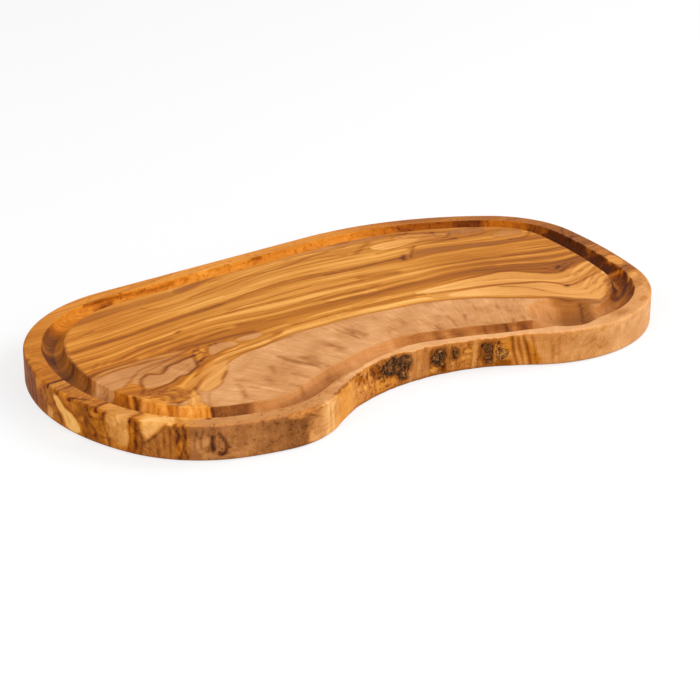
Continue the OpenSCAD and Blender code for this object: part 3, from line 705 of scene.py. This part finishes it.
    (-.38, 1.4, "-20 -38, -21 -47"), (-.2, 2, "12 -36, 13 -44"),
]
GROOVE_LINES = [
    (-.5, 1, "-196 2, -185 3, -172 2.5, -160 1.5, -145 1.5, -130 1"),
    (-.7, 1.8, "-151 4.5, -144 5.5, -137 6.5"), (-.5, 1.5, "-262 1, -257 1"),
    (.4, 2, "-64 0, -59 4, -55 8"), (-.35, 2.2, "-50 1, -45 5, -42 9"), (.35, 1.5, "-36 0, -31 4, -28 8"),
    (-.4, 1.8, "-21 0, -17 4, -13 8"), (.4, 1.4, "-8 2, -4 5, 0 8"), (-.4, 1.4, "3 1, 7 5, 9 8"),
    (.3, 1.5, "14 1, 18 5, 20 8"), (-.35, 1.3, "25 1, 28 6"), (.45, 1.6, "481 0, 485 3, 489 6"),
    (-.4, 1.2, "486 0, 490 3, 494 6"), (-.35, 1.6, "284 0, 286 5"), (-.3, 2.2, "294 1, 297 5"),
    (-.35, .9, "309.5 1, 311 5"), (-.5, 1.2, "321 1, 322 4"), (-.25, 2.5, "329 1, 331 5"),
    (.2, 1.5, "289 1, 291 5"), (.2, 2, "302 1, 304 5"), (.25, 1.2, "325.5 1, 326 4"),
    (-.35, .8, "60 2, 62 6"), (-.3, .7, "65 1, 66 5"), (-.45, 1, "69.5 3, 71 7"), (-.3, .8, "88 1, 90 4"),
    (-.35, .9, "97 4, 99 8"), (-.3, .7, "101 1, 102 5"), (.25, .8, "93 2, 95 6"),
    (-.5, .8, "105.8 0, 106.5 8"), (.4, 2.2, "424 6.5, 440 6.3, 460 6.3, 476 6"),
    (.3, 1.6, "480 1, 486 3, 491 6"), (.25, 1.5, "500 1, 505 4"), (.2, 1.5, "462 0, 467 3"),
    (.3, 1.6, "515 0, 520 3, 524 6"), (.35, 1.4, "-486 0, -480 3, -476 6"),
]


def smooth_path(points, closed=False):
    """A path with its corners cut twice."""
    p = np.array(points, float)
    for _ in range(2):
        after = np.roll(p, -1, 0) if closed else p[1:]
        before = p if closed else p[:-1]
        cut = np.stack([0.75 * before + 0.25 * after, 0.25 * before + 0.75 * after], 1).reshape(-1, 2)
        p = cut if closed else np.concatenate([p[:1], cut, p[-1:]])
    return p


def near(path, px, py, margin):
    """Numbers of the points in the box round a path."""
    low, high = path.min(0) - margin, path.max(0) + margin
    return np.flatnonzero((px > low[0]) & (px < high[0]) & (py > low[1]) & (py < high[1]))


def path_distance(path, px, py):
    best = np.full(len(px), np.inf)
    for (ax, ay), (bx, by) in zip(path[:-1], path[1:]):
        ux, uy = bx - ax, by - ay
        t = np.clip(((px - ax) * ux + (py - ay) * uy) / (ux * ux + uy * uy + 1e-12), 0, 1)
        best = np.minimum(best, np.hypot(px - ax - t * ux, py - ay - t * uy))
    return best


def depth_inside(path, px, py):
    """Distance to a closed path, positive inside it."""
    odd = np.zeros(len(px), bool)
    for (ax, ay), (bx, by) in zip(path, np.roll(path, -1, 0)):
        if ay != by:
            odd ^= ((ay > py) != (by > py)) & (px < ax + (py - ay) / (by - ay) * (bx - ax))
    return path_distance(np.concatenate([path, path[:1]]), px, py) * np.where(odd, 1, -1)


def on(*zones):
    return np.isin(zone, zones)


# What the places have of their own: added tone, then tone, pale and gold, and how far these cover the grain
tone = np.zeros(len(verts))
paint = np.zeros((len(verts), 3))
cover = np.zeros(len(verts))


def lay_tones(table, here, share):
    u = s_at[here] + 0.6 * shift_x[here] + 0.6 * shift_y[here]
    stops = table.T
    found = np.stack([np.interp(u, stops[0], column) for column in stops[1:]], -1)
    paint[here] += (found[:, :3] - paint[here]) * share[:, None]
    cover[here] += (found[:, 3] - cover[here]) * share


def lay_patch(here, pu, pv, values, text, blur=PATCH_BLUR):
    path = smooth_path(rows_of(text), True)
    k = near(path, pu, pv, 1.0 + blur)
    share = soft(depth_inside(path, pu[k], pv[k]), -blur, blur)
    paint[here[k]] += (np.array(values) - paint[here[k]]) * share[:, None]
    cover[here[k]] += (1 - cover[here[k]]) * share


def lay_line(here, pu, pv, amount, half, text):
    path = smooth_path(rows_of(text))
    k = near(path, pu, pv, 4 * half)
    uneven = 0.6 + 0.8 * vary[here[k]]
    d = path_distance(path, pu[k], pv[k]) / (half * uneven)
    tone[here[k]] += amount * uneven * np.exp(-d * d)


whole = np.ones(len(verts))
for zones, table, share in (
        ((ON_RIM,), RIM_TONES, whole),
        ((GROOVE_OUT,), GROOVE_OUT_TONES, whole),
        ((GROOVE_IN,), GROOVE_IN_TONES, whole),
        (SIDE, WALL_TONES, whole),
        ((TOP_EDGE,), RIM_TONES, soft(deep, 0.8, 0.1))):
    lay_tones(table, on(*zones), share[on(*zones)])

for zones, u, v, wobble, patches, lines in (
        (SIDE, s_at, z, 0.35, WALL_PATCHES, WALL_LINES),
        (TOP + GROOVE, x, slanted, 0.35, TOP_PATCHES, TOP_LINES),
        (GROOVE, s_at, deep, 0.3, [], GROOVE_LINES)):
    here = np.flatnonzero(on(*zones))
    pu, pv = (u + wobble * shift_x)[here], (v + wobble * shift_y)[here]
    for own_tone, pale, gold, *shape in patches:
        lay_patch(here, pu, pv, (own_tone, pale, gold), *shape)
    for line in lines:
        lay_line(here, pu, pv, *line)


def stretch(a, b, c, d):
    """Share of the edge that fades in from a to b and out from c to d."""
    return soft(s_at, a, b) * (1 - soft(s_at, c, d))


# The groove is painted darker towards its bottom as shade, most of all at the bay's left end, and the top
# inside the groove is a little darker.
# The wall's lines are stronger
WALL_CONTRAST, PLATEAU_DARKER = 1.3, 0.04
tone -= on(*GROOVE) * soft(deep, 1.5, 4.6) * (0.05 + 0.4 * stretch(140, 160, 205, 240))
side = on(*SIDE)
tone[side] *= WALL_CONTRAST
tone[zone == PLATEAU] -= PLATEAU_DARKER

# Swirling figure at the left end, and round the knot on the top there
KNOT_X, KNOT_Y, KNOT_R = -155, -62, 26
from_knot = np.hypot(x - KNOT_X + shift_x, y - KNOT_Y + shift_y) / KNOT_R
figure = np.maximum(
    on(*SIDE, ON_RIM) * stretch(-75, -45, 90, 104),
    on(*TOP, *GROOVE) * (1 - soft(from_knot, 0.6, 1.1)))

# Flecks on the front wall, on the front rim and along the back rim
back_flecks = (stretch(-205, -190, -135, -120) + 0.9 * stretch(-375, -360, -205, -190)
               + 1 - soft(s_at, -375, -360) + soft(s_at, 430, 460))
fleck = np.maximum.reduce([
    side * (stretch(96, 104, 160, 172) + stretch(352, 360, 374, 386)),
    0.9 * on(ON_RIM, TOP_EDGE) * stretch(104, 112, 210, 225),
    on(ON_RIM, TOP_EDGE, GROOVE_OUT) * back_flecks])


def attribute(obj, name, values):
    values = np.asarray(values, np.float32)
    kind, key = ("FLOAT_VECTOR", "vector") if values.ndim == 2 else ("FLOAT", "value")
    obj.data.attributes.new(name, kind, "POINT").data.foreach_set(key, values.ravel())


# Rings of the sapwood lie round the bay's centre, and RING_R turns their angle into mm
RING_R = 175
bay_x, bay_y = x - bay_centre[0], y - bay_centre[1]
for name, values in {
        "wood": np.column_stack([x, across, z]),
        "wall": np.column_stack([s_at, z, 0 * z]),
        "ring": np.column_stack([RING_R * np.arctan2(bay_x, bay_y), np.hypot(bay_x, bay_y), z]),
        "figure": figure,
        "fleck": fleck,
        "side": side,
        "tone": tone,
        "paint": paint,
        "cover": cover,
        "end_grain": end_grain,
        "bark_wall": live_share * side * soft(deep, 0.2, 1.0),
        "crumbs": along_bay(CRUMBS, bay_at) * soft(z, 0.5, 3) * soft(deep, 0.5, 2.5),
}.items():
    attribute(board, name, values)


# Materials

def linear(rgb):
    """A colour of 0 to 255 as Blender's scene-linear colour."""
    c = np.array(rgb, float) / 255
    return tuple(np.where(c <= 0.04045, c / 12.92, ((c + 0.055) / 1.055) ** 2.4)) + (1.0,)


def blended(a, b, share):
    return a + (b - a) * share


class Value:
    """An output of a node, for use in sums: each step of a sum becomes a node."""

    def __init__(self, nodes, socket):
        self.nodes = nodes
        self.socket = socket

    def __add__(self, other):
        return self.nodes.calc("ADD", self, other)

    def __sub__(self, other):
        return self.nodes.calc("SUBTRACT", self, other)

    def __rsub__(self, other):
        return self.nodes.calc("SUBTRACT", other, self)

    def __mul__(self, other):
        return self.nodes.calc("MULTIPLY", self, other)

    def __truediv__(self, other):
        return self.nodes.calc("DIVIDE", self, other)

    __radd__ = __add__
    __rmul__ = __mul__


class Nodes:
    """Short forms for the nodes of one tree."""

    def __init__(self, tree):
        self.tree = tree

    def put(self, socket, value):
        if isinstance(value, Value):
            self.tree.links.new(value.socket, socket)
        else:
            socket.default_value = value

    def add(self, kind, *values, **settings):
        node = self.tree.nodes.new("ShaderNode" + kind)
        for key, value in settings.items():
            setattr(node, key, value)
        for socket, value in zip(node.inputs, values):
            self.put(socket, value)
        return node

    def calc(self, operation, a, b=0.0):
        return Value(self, self.add("Math", a, b, operation=operation).outputs[0])

    def field(self, name, output="Fac"):
        return Value(self, self.add("Attribute", attribute_name=name).outputs[output])

    def split(self, vector):
        return [Value(self, socket) for socket in self.add("SeparateXYZ", vector).outputs]

    def step(self, value, low, high, to_low=0.0, to_high=1.0):
        node = self.add("MapRange", value, low, high, to_low, to_high, interpolation_type="SMOOTHSTEP")
        return Value(self, node.outputs[0])

    def grain(self, vector, scale, detail=2.0, rough=0.5, distort=0.0, offset=(0, 0, 0)):
        """Noise from -1 to 1 with its own scale on each axis."""
        place = self.add("VectorMath", vector, scale, offset, operation="MULTIPLY_ADD")
        node = self.add("TexNoise", Value(self, place.outputs[0]))
        for key, value in (("Scale", 1.0), ("Detail", detail), ("Roughness", rough), ("Distortion", distort)):
            node.inputs[key].default_value = value
        return Value(self, node.outputs[0]) * 2.0 - 1.0

    def ramp(self, value, stops, low=0.0, high=1.0):
        """Grey tones or colours at places from low to high."""
        node = self.add("ValToRGB", (value - low) / (high - low))
        bar = node.color_ramp
        while len(bar.elements) < len(stops):
            bar.elements.new(0.5)
        for element, (where, colour) in zip(bar.elements, sorted(stops, key=lambda stop: stop[0])):
            element.position = (where - low) / (high - low)
            element.color = colour if isinstance(colour, tuple) else (colour, colour, colour, 1.0)
        return Value(self, node.outputs[0])

    def mix(self, share, a, b):
        node = self.add("Mix", data_type="RGBA")
        for number, value in ((0, share), (6, a), (7, b)):
            self.put(node.inputs[number], value)
        return Value(self, node.outputs[2])

    def background_ray(self):
        """1 for the rays that show the background: camera, glossy and transmission rays."""
        ray = self.add("LightPath").outputs
        shown = 0.0
        for kind in ("Camera", "Glossy", "Transmission"):
            shown = self.calc("MAXIMUM", Value(self, ray["Is %s Ray" % kind]), shown)
        return shown


class Skin(Nodes):
    """The nodes of one material."""

    def __init__(self, name):
        self.material = bpy.data.materials.new(name)
        self.material.use_nodes = True
        super().__init__(self.material.node_tree)
        self.surface = self.tree.nodes["Principled BSDF"]

    def finish(self, colour, roughness, specular):
        inputs = self.surface.inputs
        self.put(inputs["Base Color"], colour)
        self.put(inputs["Roughness"], roughness)
        inputs["Specular IOR Level"].default_value = specular

    def bump(self, height, strength, distance):
        node = self.add("Bump")
        for key, value in (("Height", height), ("Strength", strength), ("Distance", distance)):
            self.put(node.inputs[key], value)
        self.put(self.surface.inputs["Normal"], Value(self, node.outputs[0]))


# Tones of the heartwood across the grain, 0 dark to 1 light, in two ramps that meet at BACK_FROM
FRONT_END, BACK_FROM, BACK_END = -110, 35, 108
BACK_TONES = rows_of(
    "108 .55, 98 .65, 92 .7, 88.5 .55, 86 .38, 84 .42, 82 .58, 77 .66, 73 .62, 72 .4, 70.6 .66, 66 .55, "
    "60 .85, 56 .68, 54 .72, 51 .5, 49.6 .3, 48.6 .45, 47 .25, 45.5 .5, 40 .72, 37.2 .62, 36 .45, "
    "35 .68")
FRONT_TONES = rows_of(
    "35 .68, 31 .6, 28 .45, 25.5 .55, 23 .82, 20 .7, 17 .42, 14 .4, 11.4 .66, 10.2 .62, 8 .4, 5 .2, "
    "1 .28, -2 .45, -4.5 .69, -8 .5, -9.4 .36, -10.8 .5, -12.6 .96, -15.5 .9, -17.4 .62, -18.8 .4, "
    "-20 .7, -26 .75, -45 .65, -70 .6, -110 .6")

# The sapwood begins between these levels of the grain
SAP_FROM, SAP_WHOLE = -18.6, -19.8

# Tones over one growth line, which darkens slowly and ends sharply, and over the swirls of the figure
GROWTH_GAP = 5.2
GROWTH_TONES = rows_of("0 .4, .04 .78, .4 .66, .8 .48, .95 .06, 1 .4")
SWIRL_TONES = rows_of(
    "-1 .5, -.45 .4, -.4 .7, -.22 .62, -.19 .05, -.15 .5, -.02 .6, .01 0, .05 .42, .2 .45, .23 .8, .4 .6, "
    ".44 .1, .6 .5, 1 .6")

# Colours of the three kinds of wood by tone
TONES = (-1.2, -0.6, 0, 0.3, 0.5, 0.7, 0.85, 1, 1.3)
HEART = rows_of(
    "48 25 8, 98 43 8, 167 93 15, 192 117 29, 208 134 46, 223 151 63, 236 165 76, 246 183 96, 249 197 120")
SAP = rows_of(
    "53 30 15, 107 59 26, 166 104 53, 194 129 72, 206 143 85, 218 155 99, 227 166 109, 234 177 119, "
    "240 192 140")
GOLD = rows_of(
    "50 26 8, 105 42 6, 163 81 9, 194 106 15, 213 125 24, 227 141 34, 235 152 48, 242 168 66, 247 186 92")


def palette(nodes, tone, colours):
    return nodes.ramp(tone, [(t, linear(c)) for t, c in zip(TONES, colours)], TONES[0], TONES[-1])


def growth_lines(n, wood, g):
    """Lines across the grain's levels g that are stronger in some places than in others."""
    drift = n.grain(wood, (0.005, 0.11, 0.05), offset=(1, 1, 7))
    jitter = n.grain(wood, (0.02, 0.3, 0.1), offset=(7, 2, 1))
    growth = n.ramp(n.calc("FRACT", g / GROWTH_GAP + 4.5 * drift + 0.8 * jitter), GROWTH_TONES)
    strength = n.step(n.grain(wood, (0.012, 0.07, 0.05), offset=(4, 9, 3)), -0.25, 0.35, 0.05, 0.66)
    return (growth - 0.56) * strength


def sapwood_strokes(n, ring, east):
    """Strokes across the rings, in patches, with hairs and clouds."""
    stroke = n.grain(ring, (0.10, 0.035, 0.05), 2.0, 0.6, 0.3, offset=(0, 3, 3))
    hair = n.grain(ring, (0.9, 0.06, 0.1), 3.0, 0.6, 0.2, offset=(5, 3, 3))
    cloud = n.grain(ring, (0.05, 0.06, 0.05), 3.0, 0.6, 0.3, offset=(8, 1, 2))
    patchy = n.grain(ring, (0.035, 0.03, 0.05), 2.0, 0.5, 0.2, offset=(3, 8, 1))
    strokes = 0.15 * n.step(stroke, -0.05, -0.4) - 0.32 * n.step(stroke, 0.06, 0.36)
    strokes = strokes * n.step(patchy, -0.2, 0.3, 0.2, 1.3)
    return strokes + 0.4 * hair + 0.55 * cloud + n.step(east, -20, 60, -0.05, -0.1)


def live_fibres(n, wall, crumb):
    """Upright fibres of the live wall, with hollows painted dark as shade and light nibs where it is crumbly.
    """
    loose = n.field("crumbs")
    upright = n.grain(wall, (0.35, 0.03, 1.0), 3.0, 0.6)
    thin = n.grain(wall, (1.3, 0.06, 1.0), 2.0, 0.6, offset=(7, 0, 0))
    hollow = n.step(0.2 * loose + crumb, 0.2, 0.45)
    nib = n.step(crumb, -0.12, -0.35) * loose
    return 0.5 * upright + 0.35 * thin - 0.85 * hollow + 0.45 * nib


def olive_wood():
    n = Skin("olive_wood")
    wood, ring, wall = (n.field(name, "Vector") for name in ("wood", "ring", "wall"))
    east, line, _ = n.split(wood)

    # Heartwood: listed bands, bent a little, with streaks and thin lines along the grain
    warp = n.grain(wood, (0.011, 0.05, 0.03))
    ripple = n.grain(wood, (0.03, 0.3, 0.1), offset=(3, 7, 1))
    g = line + 2.2 * warp + 0.7 * ripple
    back = n.ramp(g, BACK_TONES, BACK_FROM, BACK_END)
    front = n.ramp(g, FRONT_TONES, FRONT_END, BACK_FROM)
    base = n.mix(n.step(g, BACK_FROM - 0.1, BACK_FROM + 0.1), front, back) * 1.3 - 0.2
    sap = n.step(g, SAP_FROM, SAP_WHOLE)
    heart = 1.0 - sap
    broad = n.grain(wood, (0.018, 0.06, 0.05), 2.0, 0.55, offset=(9, 2, 4))
    band = n.grain(wood, (0.006, 0.24, 0.08), offset=(2, 8, 5))
    streak = n.grain(wood, (0.007, 0.62, 0.2), 3.0, 0.65, offset=(1, 5, 8))
    thread = n.grain(wood, (0.006, 0.42, 0.12), offset=(6, 1, 3))
    fibre = n.grain(wood, (0.014, 1.5, 0.4), 3.0, 0.6, offset=(8, 3, 2))
    fine = n.grain(wood, (0.04, 3.4, 0.9), 2.0, 0.6, offset=(4, 4, 4))
    dark_line = n.step(thread, 0.18, 0.36) * heart
    light_line = n.step(thread, -0.24, -0.45) * heart

    # End grain: darker, in patches
    end = n.step(n.field("end_grain"), 0.35, 0.95)
    patch = n.grain(wood, (0.05, 0.09, 0.03), 3.0, 0.6, 0.6, offset=(2, 9, 6))
    base = base + end * (0.7 * patch - 0.35)

    # Places with tones of their own
    cover = n.field("cover")
    own_tone, own_pale, own_gold = n.split(n.field("paint", "Vector"))
    added_tone = n.field("tone")
    base = blended(base, own_tone, cover)
    sap_here = sap * (1.0 - cover)
    pale = n.calc("MINIMUM", own_pale * cover + sap_here, 1.0)
    plain = 1.0 - n.calc("MAXIMUM", pale, cover * 0.65)
    dark_ends = 0.3 * n.step(east, 60, 110) + 0.12 * n.step(east, -60, -120)
    tone = (base + added_tone - dark_ends * heart + 0.2 * broad
            + (0.3 * band + 0.46 * streak + growth_lines(n, wood, g)) * (0.92 * plain + 0.08)
            + (0.45 * fibre + 0.32 * fine) * (0.7 * plain + 0.3)
            - 0.25 * dark_line + 0.2 * light_line)
    tone = tone + n.calc("MAXIMUM", sap_here, 0.6 * pale) * sapwood_strokes(n, ring, east)

    # Figured wood on the left: swirling lines
    swirl = n.grain(wood, (0.045, 0.045, 0.035), 3.0, 0.55, 0.9, offset=(3, 1, 0))
    tone = tone + 0.48 * (n.ramp(swirl, SWIRL_TONES, -1.0, 1.0) - 0.5) * n.field("figure")

    # Flecks, and a mottle on the wall
    spot = n.grain(wood, (0.28, 0.4, 0.3), 4.0, 0.7, 0.6, offset=(1, 6, 2))
    flecks = 0.25 * n.step(spot, -0.12, -0.45) - 0.5 * n.step(spot, 0.06, 0.4)
    mottle = n.grain(wall, (0.11, 0.14, 1.0), 4.0, 0.65, 0.7, offset=(5, 2, 8))
    tone = tone + n.field("fleck") * flecks + 0.45 * n.field("side") * mottle

    # Live wall of the bay
    live_here = n.field("bark_wall")
    crumb = n.grain(wall, (0.4, 0.45, 1.0), 4.0, 0.75, 0.8, offset=(2, 2, 5))
    tone = blended(tone, own_tone + added_tone + live_fibres(n, wall, crumb), live_here)

    # Colour, sheen and pores
    gold = n.step(east, -60, -130) * heart * (0.3 - 0.3 * cover) + own_gold * cover
    colour = n.mix(pale, palette(n, tone, HEART), palette(n, tone, SAP))
    colour = n.mix(n.calc("MINIMUM", gold, 1.0), colour, palette(n, tone, GOLD))
    n.finish(colour, 0.5 + 0.05 * streak + 0.04 * fine, specular=0.05)
    n.bump(fine + crumb * live_here, strength=0.25, distance=0.4 * MM)
    return n.material


board.data.materials.append(olive_wood())

# Bark left on the live wall: node, how golden, outline (distance along the edge, height)
BARK = [
    ("bark_left", 0, "236.5 12.5, 238.5 16.5, 243 18.3, 247 18.8, 252 18.3, 256.5 18.3, 259 15.5, "
                     "258.8 10, 257 6, 255 3, 252 2.8, 250.5 5, 249 8, 244.5 8, 240.5 9.3, 237.5 10.5"),
    ("bark_middle", 0, "272.8 15.5, 275 17.6, 279 17.2, 281 14.5, 281.8 10.5, 281 7, 278.5 4.8, 275 6, "
                       "273 8.5, 272.4 12"),
    ("bark_sliver", 0, "285.4 16.5, 287.5 16.7, 288.3 12.5, 287.6 8.5, 285.8 8.7, 285.2 12"),
    ("bark_right", .1, "303.8 16.5, 307 17.3, 309.5 15, 310.5 10, 311 5, 310 1.8, 307.5 2.8, 306 6, "
                       "305 10, 303.5 13"),
    ("bark_end", .32, "311.8 15.5, 314 16.3, 316 13, 319 10.5, 320.8 8.8, 320 6, 316.5 4.3, 313.5 4.5, "
                      "311.9 8"),
]

# How far the bark's back lies in the wood, how far its outline sinks, its lowest height, cells per mm
BARK_BACK, BARK_SINK, BARK_FOOT, BARK_CELLS = 2.8, 1.6, 0.6, 3
# Room that the bark's mesh has round the outline, and the first patch's seed
BARK_MARGIN, BARK_SEED = 1.4, 40
# Colours of the bark from its cracks to its crumbs: place, red, green, blue
BARK_COLOURS = rows_of("0 30 14 3, .3 80 47 19, .5 122 76 36, .7 168 106 44, .9 218 148 68")


def bark_piece(node, golden, text, seed):
    """A rough scab of bark that comes out of the wood and sinks back into it at an uneven outline."""
    path = smooth_path(rows_of(text) - (bay_mid, 0), True)
    low, high = path.min(0) - BARK_MARGIN, path.max(0) + BARK_MARGIN
    nu, nv = (BARK_CELLS * (high - low)).astype(int) + 4
    a, h = np.meshgrid(np.linspace(low[0], high[0], nu), np.linspace(low[1], high[1], nv), indexing="ij")
    h = np.clip(h, BARK_FOOT, BOARD_T - BARK_FOOT)
    p = sheet(a, h)
    in_by = depth_inside(path, a.ravel(), h.ravel()).reshape(a.shape)
    within = soft(in_by + 1.8 * (rough(p / 1.8, seed, 4) - 0.5), -0.7, 0.9)
    lumps = rough(p / (3.2, 2.4, 1), seed + 3, 4)
    crack = np.abs(2 * rough(p / (2.2, 3.6, 1), seed + 5) - 1)
    grit = rough(p / (1.1, 0.9, 1), seed + 7)
    rise = 1.5 + 3.4 * (lumps - 0.4) + 0.9 * np.minimum(crack * 3, 1) + 1.1 * (grit - 0.5)
    out = within * rise - BARK_SINK
    skin = live_wall(a, h, ease((bay_half - np.abs(a)) / LIVE_RUN))
    way = facing(bay_turn - np.degrees(a / BAY_R))
    verts = np.concatenate([
        np.concatenate([bay_centre + (BAY_R + skin + into)[..., None] * way, h[..., None]], -1).reshape(-1, 3)
        for into in (-out, BARK_BACK)])
    k = np.arange(nu * nv).reshape(nu, nv)
    front = np.stack([k[:-1, :-1], k[1:, :-1], k[1:, 1:], k[:-1, 1:]], -1).reshape(-1, 4)
    back = front[:, ::-1] + nu * nv
    loop = np.concatenate([k[:-1, 0], k[-1, :-1], k[:0:-1, -1], k[0, :0:-1]])
    after = np.roll(loop, -1)
    rim = np.stack([loop, loop + nu * nv, after + nu * nv, after], -1)
    obj = make_mesh("scab_" + node, verts, np.concatenate([front, back, rim]).tolist())
    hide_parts(node)
    attribute(obj, "wall", np.tile(p.reshape(-1, 3), (2, 1)))
    attribute(obj, "height", np.tile(out.ravel(), 2))
    attribute(obj, "golden", np.full(len(verts), golden))
    return obj


def bark_skin():
    n = Skin("bark")
    wall = n.field("wall", "Vector")
    lump = n.grain(wall, (0.5, 0.4, 1.0), 4.0, 0.7, 0.4)
    grit = n.grain(wall, (2.2, 1.6, 1.0), 3.0, 0.7, offset=(4, 1, 0))
    # Where the bark stands out it is lighter and where it sinks in it is darker: partly its lighter crust,
    # partly painted shade in the low places.
    high = n.step(n.field("height"), -0.6, 1.8, -0.15, 0.3)
    shade = 0.8 * lump + 0.25 + 0.75 * grit + high + n.field("golden")
    colour = n.ramp(shade, [(where, linear(rgb)) for where, *rgb in BARK_COLOURS])
    n.finish(colour, 0.12 * grit + 0.8, specular=0.2)
    n.bump(grit + lump, strength=0.7, distance=0.6 * MM)
    return n.material


bark_material = bark_skin()
for number, entry in enumerate(BARK):
    bark_piece(*entry, seed=BARK_SEED + 10 * number).data.materials.append(bark_material)

# Stage: white paper, which shows white and gives little light back to the board

FLOOR_HALF, FLOOR_DROP = 6.0, 0.0003
PAPER_SHOWN, PAPER_LIT, PAPER_GLOW = (0.96, 0.96, 0.96, 1), (0.5, 0.5, 0.5, 1), 0.7


def white_paper():
    n = Skin("white_paper")
    shown = n.background_ray()
    grain_place = Value(n, n.add("TexCoord").outputs["Object"])
    fibre = n.grain(grain_place, (900, 900, 900), 3.0, 0.6)
    n.finish(n.mix(shown, PAPER_LIT, PAPER_SHOWN), 0.03 * fibre + 0.9, specular=0.0)
    glow = n.add("Emission", (1, 1, 1, 1), 1.0)
    mixed = n.add("MixShader", PAPER_GLOW * shown, Value(n, n.surface.outputs[0]), Value(n, glow.outputs[0]))
    n.put(n.tree.nodes["Material Output"].inputs["Surface"], Value(n, mixed.outputs[0]))
    return n.material


corners = [(sx * FLOOR_HALF, sy * FLOOR_HALF, 0) for sx, sy in ((-1, -1), (1, -1), (1, 1), (-1, 1))]
floor_mesh = bpy.data.meshes.new("floor")
floor_mesh.from_pydata(corners, [], [(0, 1, 2, 3)])
floor = bpy.data.objects.new("floor", floor_mesh)
floor.location.z = -FLOOR_DROP
scene.collection.objects.link(floor)
floor.data.materials.append(white_paper())

# World: white where it is seen, and half as strong where it lights the board
SKY_LIGHT, SKY_SHOWN = 0.5, 1.0
world = bpy.data.worlds.new("studio")
scene.world = world
world.use_nodes = True
sky = Nodes(world.node_tree)
background = world.node_tree.nodes["Background"].inputs
background["Color"].default_value = (1, 1, 1, 1)
sky.put(background["Strength"], SKY_LIGHT + (SKY_SHOWN - SKY_LIGHT) * sky.background_ray())

scene.view_settings.view_transform = "Standard"

# Lamps: name, place and width in metres, watts
SOFTBOXES = [
    ("key", (1.5, -0.5, 1.3), 1.2, 22),
    ("left", (-1.7, -0.7, 0.9), 1.4, 17),
    ("front", (0.3, -1.9, 0.9), 1.4, 15),
]


def aim(obj, where, target):
    obj.location = where
    obj.rotation_euler = (Vector(target) - Vector(where)).to_track_quat("-Z", "Y").to_euler()
    scene.collection.objects.link(obj)


for name, where, size, power in SOFTBOXES:
    lamp = bpy.data.lights.new(name, "AREA")
    lamp.shape = "DISK"
    lamp.size = size
    lamp.energy = power
    aim(bpy.data.objects.new(name, lamp), where, (0, 0, 0))

# Camera at the photograph's place
SENSOR_MM, LENS_MM = 36.0, 102.857
CAMERA_TARGET = Vector((-8.223, -18.862, 0.0)) * MM
CAMERA_TURN, CAMERA_RISE, CAMERA_DISTANCE = math.radians(-34.5), math.radians(23.2205), 1.159344

lens = bpy.data.cameras.new("camera")
lens.sensor_width = SENSOR_MM
lens.lens = LENS_MM
camera = bpy.data.objects.new("camera", lens)
level = math.cos(CAMERA_RISE)
towards = Vector((math.sin(CAMERA_TURN) * level, -math.cos(CAMERA_TURN) * level, math.sin(CAMERA_RISE)))
aim(camera, CAMERA_TARGET + CAMERA_DISTANCE * towards, CAMERA_TARGET)
scene.camera = camera
